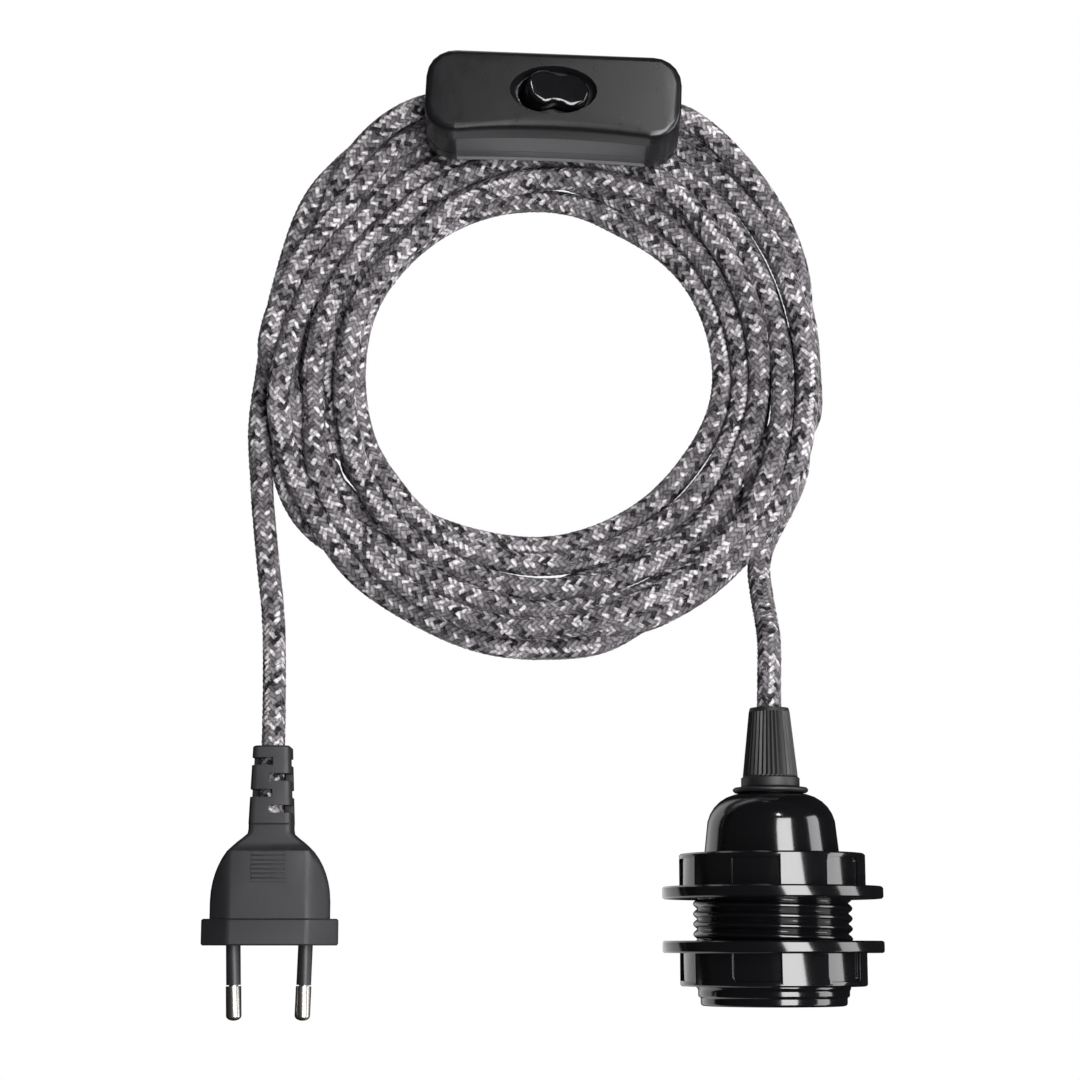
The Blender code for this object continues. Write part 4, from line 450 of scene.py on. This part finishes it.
def braided_cord(name, line):
    """A tube along the line, with the yarns' relief, loose fibres, and the braid's own map."""
    rows = even_steps(line, RING_STEP)
    count = len(rows)
    along = np.gradient(rows, axis=0)
    along /= np.linalg.norm(along, axis=1)[:, None]
    side = np.zeros_like(rows)
    side[0] = np.cross(along[0], (0.0, 0.0, 1.0))
    for k in range(1, count):
        side[k] = side[k - 1] - along[k] * (side[k - 1] @ along[k])
        side[k] /= np.linalg.norm(side[k])
    up = np.cross(side, along)
    turn = np.arange(CORD_SIDES) / CORD_SIDES
    run = np.arange(count) / CORD_SIDES
    between_yarns = (np.arange(count)[:, None] + np.arange(CORD_SIDES)[None, :]) % 2 == 0
    radius = CORD_RADIUS - np.where(between_yarns, YARN_RELIEF, 0.0)
    radius += chance.normal(0, YARN_UNEVENNESS, radius.shape)
    angle = 2 * np.pi * turn
    ring = np.cos(angle)[None, :, None] * side[:, None] + np.sin(angle)[None, :, None] * up[:, None]
    tube = (rows[:, None] + ring * radius[:, :, None]).reshape(-1, 3)
    # A known fault: the faces of the tube and of its two ends point inwards.
    index = np.arange(len(tube)).reshape(count, CORD_SIDES)
    after = np.roll(index, -1, axis=1)
    quads = np.stack([index[:-1], after[:-1], after[1:], index[1:]], 2).reshape(-1, 4)

    fibres = count * FIBRES_A_RING
    at, where = chance.integers(2, count - 2, fibres), chance.random(fibres) * 2 * np.pi
    out = np.cos(where)[:, None] * side[at] + np.sin(where)[:, None] * up[at]
    around = np.cross(along[at], out)
    lean = chance.normal(0, 1, (fibres, 2))
    root = rows[at] + out * (CORD_RADIUS - FIBRE_DEPTH)
    tip = root + out * chance.uniform(*FIBRE_LENGTHS, fibres)[:, None]
    tip += along[at] * lean[:, :1] * FIBRE_LEAN_ALONG + around * lean[:, 1:] * FIBRE_LEAN_AROUND
    width = np.cross(tip - root, out)
    width *= FIBRE_WIDTH / np.maximum(np.linalg.norm(width, axis=1), TINY)[:, None]
    hairs = np.stack([root - width, root + width, tip], 1).reshape(-1, 3)
    hair_faces = (len(tube) + np.arange(3 * fibres)).reshape(-1, 3)

    vertices = np.vstack([tube, hairs])
    vertices[:, 2] = np.maximum(vertices[:, 2], 0.0)
    faces = [*quads.tolist(), index[0][::-1].tolist(), index[-1].tolist(), *hair_faces.tolist()]
    obj = add_mesh(name, vertices, faces, BRAID, FUZZ)
    mesh = obj.data
    mesh.polygons.foreach_set("material_index", np.repeat([0, 1], [len(quads) + 2, fibres]))
    share = np.concatenate([turn, [1.0]])
    cell = np.arange(len(quads))
    ring_at, side_at = cell // CORD_SIDES, cell % CORD_SIDES
    u = np.stack([share[side_at], share[side_at + 1], share[side_at + 1], share[side_at]], 1)
    v = np.stack([run[ring_at], run[ring_at], run[ring_at + 1], run[ring_at + 1]], 1)
    uv = np.zeros((len(mesh.loops), 2))
    uv[:4 * len(quads)] = np.stack([u, v], 2).reshape(-1, 2)
    mesh.uv_layers.new(name="braid").data.foreach_set("uv", uv.ravel())
    return obj, rows * MM


holder_cord, holder_path = braided_cord("holder_cord", holder_line)
plug_cord, plug_path = braided_cord("plug_cord", plug_line)
for cord in (holder_cord, plug_cord):
    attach(cord, "cord_set")
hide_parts("cord_holder_lead", "cord_coil", "cord_switch_right_lead")
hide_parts("cord_switch_left_lead", "cord_plug_lead")

# Dome cap and shade rings
# Pressed in a glossy black thermoset. The cap closes the lampholder at the cord's end, and the two
# panelled rings screw onto its sleeve and hold a shade between them.
PATCHES_A_METRE, RUBS_A_METRE, SPECKS_A_METRE = 55.0, 420.0, 2600.0
RUB_STRETCH = (1.0, 0.35, 1.0)
TINT_SHARES, POLISH_SHARES = (0.82, 1.18), (0.78, 1.24)
DUST_COLOUR = (0.55, 0.53, 0.50, 1.0)
SHARP_ANGLE, WELD_DISTANCE, EDGE_SEGMENTS = math.radians(38.0), 0.000002, 3


def plastic(name, base, roughness, grain, grain_height, dust=0.03, coat=0.0, panel=None):
    """Moulded plastic: a fine grain, uneven polish, rubbed patches and a little dust. A panel is a
    function that masks some points, which are rougher there, and two tints that paint light falling on them."""
    material, shader, points = new_material(name)
    patches = points.noise(PATCHES_A_METRE, detail=3.0)
    rubbed = points.noise(RUBS_A_METRE, detail=4.0, roughness=0.65, stretch=RUB_STRETCH)
    specks = points.noise(SPECKS_A_METRE, detail=1.0).between(0.73, 0.78) * patches.between(0.46, 0.66)
    dark, light = ([channel * share for channel in base] + [1.0] for share in TINT_SHARES)
    tint = (patches * 0.6 + rubbed * 0.4).blend(dark, light)
    polish = rubbed.scaled(*(roughness * share for share in POLISH_SHARES)) + specks * 0.15
    if panel:
        mask, painted_lighter_tints = panel
        rougher_and_painted_lighter = mask(points)
        # Painted light: the masked points take the panel's lighter tints, and they are also rougher.
        tint = rougher_and_painted_lighter.blend(tint, rubbed.blend(*painted_lighter_tints))
        polish = polish + rougher_and_painted_lighter * 0.10
    join(
        shader,
        Base_Color=(specks * dust).blend(tint, DUST_COLOUR),
        Roughness=polish,
        Coat_Weight=coat,
        Coat_Roughness=0.06,
        IOR=1.5,
        Normal=raised(points.noise(grain, detail=2.0), grain_height),
    )
    return material


def finish(material, *names, edge=0.0):
    """Dresses CAD pieces, closes their seams, rounds sharp edges by the width edge, and smooths the rest."""
    for name in names:
        obj = nodes[name]
        dress(obj, material)
        mesh = obj.data
        if "custom_normal" in mesh.attributes:
            mesh.attributes.remove(mesh.attributes["custom_normal"])
        mesh.polygons.foreach_set("use_smooth", [True] * len(mesh.polygons))
        mesh.edges.foreach_set("use_edge_sharp", [False] * len(mesh.edges))
        obj.modifiers.new("weld", "WELD").merge_threshold = WELD_DISTANCE
        if edge:
            rounded = obj.modifiers.new("rounded_edges", "BEVEL")
            rounded.width = edge
            rounded.segments = EDGE_SEGMENTS
            rounded.limit_method = "ANGLE"
            rounded.angle_limit = SHARP_ANGLE
        obj.modifiers.new("sharp_edges", "EDGE_SPLIT").split_angle = SHARP_ANGLE
        obj.modifiers.new("flat_faces", "WEIGHTED_NORMAL").keep_sharp = True


GLOSS_BLACK = plastic("gloss_black", (0.0030, 0.0030, 0.0036), 0.13, 700.0, 0.0000012, coat=0.35)
finish(GLOSS_BLACK, "dome_cap", edge=0.0003)
finish(GLOSS_BLACK, "shade_ring_upper", "shade_ring_lower", edge=0.0002)

# Threaded sleeve
# The lampholder's glossy black tube. It screws into the cap, its outer wall carries the shade rings'
# thread, and its mouth the bulb's round thread. Heights are measured up from the mouth, along Y.
HOLDER_MOUTH_Y, HOLDER_AXIS_Z = -36.95, 27.5
SLEEVE_SIDES, SLEEVE_SHARP_ANGLE = 96, math.radians(60)
OUTER_PITCH, OUTER_ROOT, OUTER_CREST, OUTER_SHARPNESS = 2.5, 18.75, 19.8, 0.55
BORE_PITCH, BORE_CREST, BORE_DEPTH = 3.62, 13.35, 0.75
outer_height = np.arange(2.6, 36.7, 0.22)
bore_height = np.arange(22.9, 1.2, -0.3)
turn = np.arange(SLEEVE_SIDES) / SLEEVE_SIDES


def ridge(height, pitch, sharpness=1.0):
    """A helical ridge, from 0 to 1 and back over each pitch."""
    phase = height[:, None] / pitch - turn[None, :]
    return np.clip(0.5 - 0.5 * np.cos(2 * np.pi * phase), 0, 1) ** sharpness


def fade(height, low, low_run, high, high_run):
    """1 along a thread, running down to 0 at its low and its high end."""
    ends = np.clip((height - low) / low_run, 0, 1) * np.clip((high - height) / high_run, 0, 1)
    return ends[:, None]


outer_ridge = ridge(outer_height, OUTER_PITCH, OUTER_SHARPNESS) * fade(outer_height, 3.6, 2.0, 36.5, 1.2)
outer = OUTER_ROOT + (OUTER_CREST - OUTER_ROOT) * outer_ridge
bore = BORE_CREST + BORE_DEPTH * ridge(bore_height, BORE_PITCH) * fade(bore_height, 2.0, 2.0, 22.9, 2.0)
# The rings follow the wall's inside and top, its thread, the mouth, the bulb's thread, and the top and
# outside of the inner tube that carries that thread. A known fault: both threads' heights run against
# that order. So two smooth sheets run along each thread, and those at the bulb's thread cover it. The
# faces of the sheets, the walls and the rims point the wrong way.
rings = [(17.25, 2.4), (17.25, 36.9), (18.5, 36.9), (18.7, 36.75)]
rings += list(zip(outer, outer_height))
rings += [(18.72, 2.4), (18.45, 2.15), (18.2, 2.0), (18.15, 1.8), (18.15, 0.75), (18.05, 0.35)]
rings += [(17.75, 0.08), (17.4, 0.0), (14.3, 0.0), (13.9, 0.08), (13.5, 0.35), (13.4, 0.8)]
rings += list(zip(bore, bore_height))
rings += [(13.35, 23.6), (13.5, 24.0), (14.85, 24.0), (14.85, 2.2), (17.0, 2.2)]
radius = np.array([radii * np.ones(SLEEVE_SIDES) for radii, _ in rings])
height = np.array([level * np.ones(SLEEVE_SIDES) for _, level in rings])
angle = 2 * np.pi * turn
sleeve_points = np.stack(
    [radius * np.cos(angle), HOLDER_MOUTH_Y + height, HOLDER_AXIS_Z + radius * np.sin(angle)], 2,
).reshape(-1, 3)
index = np.arange(len(sleeve_points)).reshape(len(rings), SLEEVE_SIDES)
after, onward = np.roll(index, -1, axis=1), np.roll(index, -1, axis=0)
quads = np.stack([index, onward, np.roll(onward, -1, axis=1), after], 2).reshape(-1, 4)
sleeve = add_mesh("sleeve_with_threads", sleeve_points, quads.tolist(), GLOSS_BLACK)
sleeve.data.set_sharp_from_angle(angle=SLEEVE_SHARP_ANGLE)
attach(sleeve, "cord_set")
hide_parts("threaded_sleeve")

# Contact block
# A pressed and glazed white ceramic block in the cap. It carries two sprung brass contacts for the
# bulb, and two zinc plated steel screws clamp the cord's brown and blue cores to them.
CERAMIC_TINTS = ((0.70, 0.68, 0.62, 1.0), (0.80, 0.79, 0.75, 1.0))
CERAMIC_PORES = (0.42, 0.39, 0.34, 1.0)
LINES_A_METRE, STAINS_A_METRE, LINE_HEIGHT, PORE_DEPTH = 1500.0, 180.0, 0.0000015, 0.00002
STAIN_SHADE = 0.55
CERAMIC, shader, points = new_material("ceramic_white")
pores = points.noise(1900.0, detail=3.0).between(0.66, 0.74)
clouds = points.noise(90.0, detail=3.0)
join(
    shader,
    Base_Color=(pores * 0.35).blend(clouds.blend(*CERAMIC_TINTS), CERAMIC_PORES),
    Roughness=clouds.scaled(0.30, 0.45),
    Normal=raised(1.0 - pores, PORE_DEPTH),
)


def metal(name, colour, roughness, stretch=(1.0, 1.0, 1.0), tarnish=0.25):
    """Drawn or turned metal: fine lines along the work, and a little tarnish."""
    material, shader, points = new_material(name)
    lines = points.noise(LINES_A_METRE, detail=2.0, stretch=stretch)
    stains = points.noise(STAINS_A_METRE, detail=4.0, roughness=0.6)
    dull = tuple(channel * STAIN_SHADE for channel in colour[:3]) + (1.0,)
    join(
        shader,
        Base_Color=(stains.between(0.45, 0.75) * tarnish).blend(colour, dull),
        Metallic=1.0,
        Roughness=lines.scaled(roughness * 0.7, roughness * 1.4) + stains * 0.06,
        Normal=raised(lines, LINE_HEIGHT),
    )
    return material


BRASS = metal("brass", (0.66, 0.48, 0.20, 1.0), 0.28, (1.0, 0.2, 1.0))
ZINC_STEEL = metal("zinc_steel", (0.62, 0.62, 0.64, 1.0), 0.30)
CORE_BLUE = plastic("core_insulation_blue", (0.05, 0.12, 0.42), 0.38, 1600.0, 0.000006)
CORE_BROWN = plastic("core_insulation_brown", (0.16, 0.065, 0.03), 0.38, 1600.0, 0.000006)
finish(CERAMIC, "contact_block")
finish(BRASS, "centre_contact", "side_contact")
finish(ZINC_STEEL, "holder_terminal_screw_1", "holder_terminal_screw_2")
finish(CORE_BROWN, "holder_wire_live")
finish(CORE_BLUE, "holder_wire_neutral")

# Cord grip
# A fluted nut of satin black plastic closes a slit collet on the cord, over a washer, and a zinc plated
# steel nut locks the collet's stud in the cap.
SATIN_BLACK = plastic("satin_black", (0.0060, 0.0060, 0.0070), 0.52, 3800.0, 0.000010)
finish(SATIN_BLACK, "cord_grip_washer", "cord_grip_collet")
finish(SATIN_BLACK, "cord_grip_nut", edge=0.0001)
finish(ZINC_STEEL, "grip_lock_nut")

# Switch
# Two satin black shells, screwed together, with a sunk panel in the near side that is rougher and
# painted lighter for the light thrown up onto it from below. A glossy rocker's sprung plunger tips a
# brass bridge on and off its contact, and grey clamps hold the cords. The panel is found in the
# switch's own axes.
PANEL_HALF_LENGTH, PANEL_TOP, PANEL_EDGE, PANEL_BEHIND = 25.2, 12.0, 0.3, (-8.5, -7.5)
# The panel's two tints are painted light: lighter than the shells, for the light thrown up onto the panel
# from below.
PANEL_PAINTED_LIGHT_TINTS = ((0.044, 0.044, 0.049, 1.0), (0.070, 0.070, 0.077, 1.0))


def side_panel(points):
    """1 on the sunk panel, and 0 on the rest of the shells."""
    own = points.node(
        "ShaderNodeMapping",
        {0: points, 1: [c * MM for c in SWITCH_PLACE], 2: (SWITCH_LEAN, 0.0, SWITCH_TURN)},
        vector_type="TEXTURE",
    )
    x, y, z = (own.node("ShaderNodeSeparateXYZ", {0: own}, output=k) for k in range(3))
    within = 1.0 - x.size().between(PANEL_HALF_LENGTH * MM, (PANEL_HALF_LENGTH + PANEL_EDGE) * MM)
    under_lip = 1.0 - z.between(PANEL_TOP * MM, (PANEL_TOP + PANEL_EDGE) * MM)
    return within * under_lip * (1.0 - y.between(*(level * MM for level in PANEL_BEHIND)))


SWITCH_BLACK = plastic(
    "switch_black", (0.0055, 0.0055, 0.0064), 0.29, 3800.0, 0.000008, panel=(side_panel, PANEL_PAINTED_LIGHT_TINTS),
)
SATIN_GREY = plastic("satin_grey", (0.012, 0.012, 0.014), 0.46, 3600.0, 0.000012)
finish(SWITCH_BLACK, "switch_top_housing", "switch_bottom_housing", edge=0.0002)
finish(GLOSS_BLACK, "switch_rocker")
finish(SATIN_GREY, "rocker_plunger", "cord_clamp_left", "cord_clamp_right")
finish(BRASS, "contact_bridge", "contact_pivot", "switched_contact", "neutral_terminal")
finish(CORE_BROWN, "switch_wire_live_left", "switch_wire_live_right")
finish(CORE_BLUE, "switch_wire_neutral_left", "switch_wire_neutral_right")
finish(ZINC_STEEL, "rocker_spring")
for screw in (
    "live_terminal_screw", "neutral_terminal_screw", "clamp_screw_left", "clamp_screw_right",
    "housing_screw",
):
    finish(ZINC_STEEL, f"{screw}_1", f"{screw}_2")

# Plug
# Soft dark grey plastic moulded round the cord's end and the roots of two nickel plated brass pins.
# Each pin has an insulating sleeve of harder grey plastic next to the plug's face.
PLUG_PLASTIC = plastic("plug_plastic", (0.0105, 0.0102, 0.0124), 0.56, 3200.0, 0.000012, dust=0.05)
NICKEL = metal("nickel", (0.46, 0.445, 0.42, 1.0), 0.27, (1.0, 0.12, 1.0), 0.15)
finish(PLUG_PLASTIC, "plug_body", edge=0.0003)
finish(NICKEL, "plug_pin_left", "plug_pin_right")
finish(SATIN_GREY, "pin_sleeve_left", "pin_sleeve_right")

# Floor and backdrop
# A table that is pure white to the camera. In reflections it glows only in a band on the left of the
# lampholder, a painted reflection of a lit stretch of table, so that the black pieces keep dark right
# edges.
FLOOR_SIZE, FLOOR_Z = 6.0, -0.0005
WHITE = (1.0, 1.0, 1.0, 1.0)
PAPER_COLOUR = (0.60, 0.60, 0.60, 1.0)
BAND_LEFT, BAND_RIGHT = (-0.108, -0.090), (-0.035, -0.020)
BAND_STRENGTH, BESIDE_STRENGTH = 1.0, 0.015
BACKDROP_STRENGTH, BACKDROP_IN_GLOSS = 0.20, 0.035
bpy.ops.mesh.primitive_grid_add(
    x_subdivisions=4, y_subdivisions=4, size=FLOOR_SIZE, location=(0, 0, FLOOR_Z),
)
floor = bpy.context.active_object
floor.name = "floor"


def ray_kinds(tree):
    """1 for a ray from the camera, and 1 for a mirrored ray."""
    paths = tree.nodes.new("ShaderNodeLightPath")
    return Wire(tree, paths.outputs["Is Camera Ray"]), Wire(tree, paths.outputs["Is Glossy Ray"])


table = bpy.data.materials.new("floor")
table.use_nodes = True
tree = table.node_tree
tree.nodes.remove(tree.nodes["Principled BSDF"])
places = Wire(tree, tree.nodes.new("ShaderNodeTexCoord").outputs["Object"])
seen, glossy = ray_kinds(tree)
white, dark, bright = (
    places.node("ShaderNodeEmission", {"Color": WHITE, "Strength": strength})
    for strength in (1.0, BESIDE_STRENGTH, BAND_STRENGTH)
)
paper = places.node("ShaderNodeBsdfDiffuse", {"Color": PAPER_COLOUR})
x = places.node("ShaderNodeSeparateXYZ", {0: places})
# Painted reflection: in mirrored rays the floor glows in this band, and is nearly dark beside it.
band = x.between(*BAND_LEFT) * (1.0 - x.between(*BAND_RIGHT))
mirrored = places.node("ShaderNodeMixShader", {0: band, 1: dark, 2: bright})
unseen = places.node("ShaderNodeMixShader", {0: glossy, 1: paper, 2: mirrored})
both = places.node("ShaderNodeMixShader", {0: seen, 1: unseen, 2: white})
tree.links.new(both.socket, tree.nodes["Material Output"].inputs["Surface"])
dress(floor, table)

world = bpy.data.worlds.new("studio")
world.use_nodes = True
scene.world = world
background = world.node_tree.nodes["Background"]
seen, glossy = ray_kinds(world.node_tree)
unseen = (1.0 - glossy) * BACKDROP_STRENGTH + glossy * BACKDROP_IN_GLOSS
join(background, Color=WHITE, Strength=seen + (1.0 - seen) * unseen)

# Lamps
# Two soft strips as long as the table lie along Y, over the lampholder's right side, and face its axis.
# A small lamp far behind gives the switch's top its sheen, which grows towards the right.
LAMP_DISTANCE, LAMP_LENGTH, LAMP_MIDDLE_Y = 1.20, 1.50, -0.07
STRIPS = (
    # name, degrees right of straight up, width, power in watts
    ("key_strip", 19.2, 0.56, 32.1),
    ("side_strip", 80.0, 0.58, 13.4),
)
BACK_LAMP_PLACE, BACK_LAMP_SIZE, BACK_LAMP_POWER = (0.22, 1.03, 1.16), 0.14, 2.1


def add_lamp(name, place, rotation, power, width, length=None):
    """A square lamp, or a rectangular one if it has a length."""
    lamp = bpy.data.lights.new(name, "AREA")
    lamp.size = width
    if length:
        lamp.shape = "RECTANGLE"
        lamp.size_y = length
    lamp.energy = power
    stand = bpy.data.objects.new(name, lamp)
    stand.location = place
    stand.rotation_euler = rotation
    scene.collection.objects.link(stand)


for name, degrees, width, power in STRIPS:
    tilt = math.radians(degrees)
    lamp_x = LAMP_DISTANCE * math.sin(tilt)
    lamp_z = HOLDER_AXIS_Z * MM + LAMP_DISTANCE * math.cos(tilt)
    add_lamp(name, (lamp_x, LAMP_MIDDLE_Y, lamp_z), (0.0, tilt, 0.0), power, width, LAMP_LENGTH)
from_switch = Vector(BACK_LAMP_PLACE) - Vector(SWITCH_PLACE) * MM
aim_at_switch = from_switch.to_track_quat("Z", "Y").to_euler()
add_lamp("back_lamp", BACK_LAMP_PLACE, aim_at_switch, BACK_LAMP_POWER, BACK_LAMP_SIZE)

scene.view_settings.view_transform = "Standard"
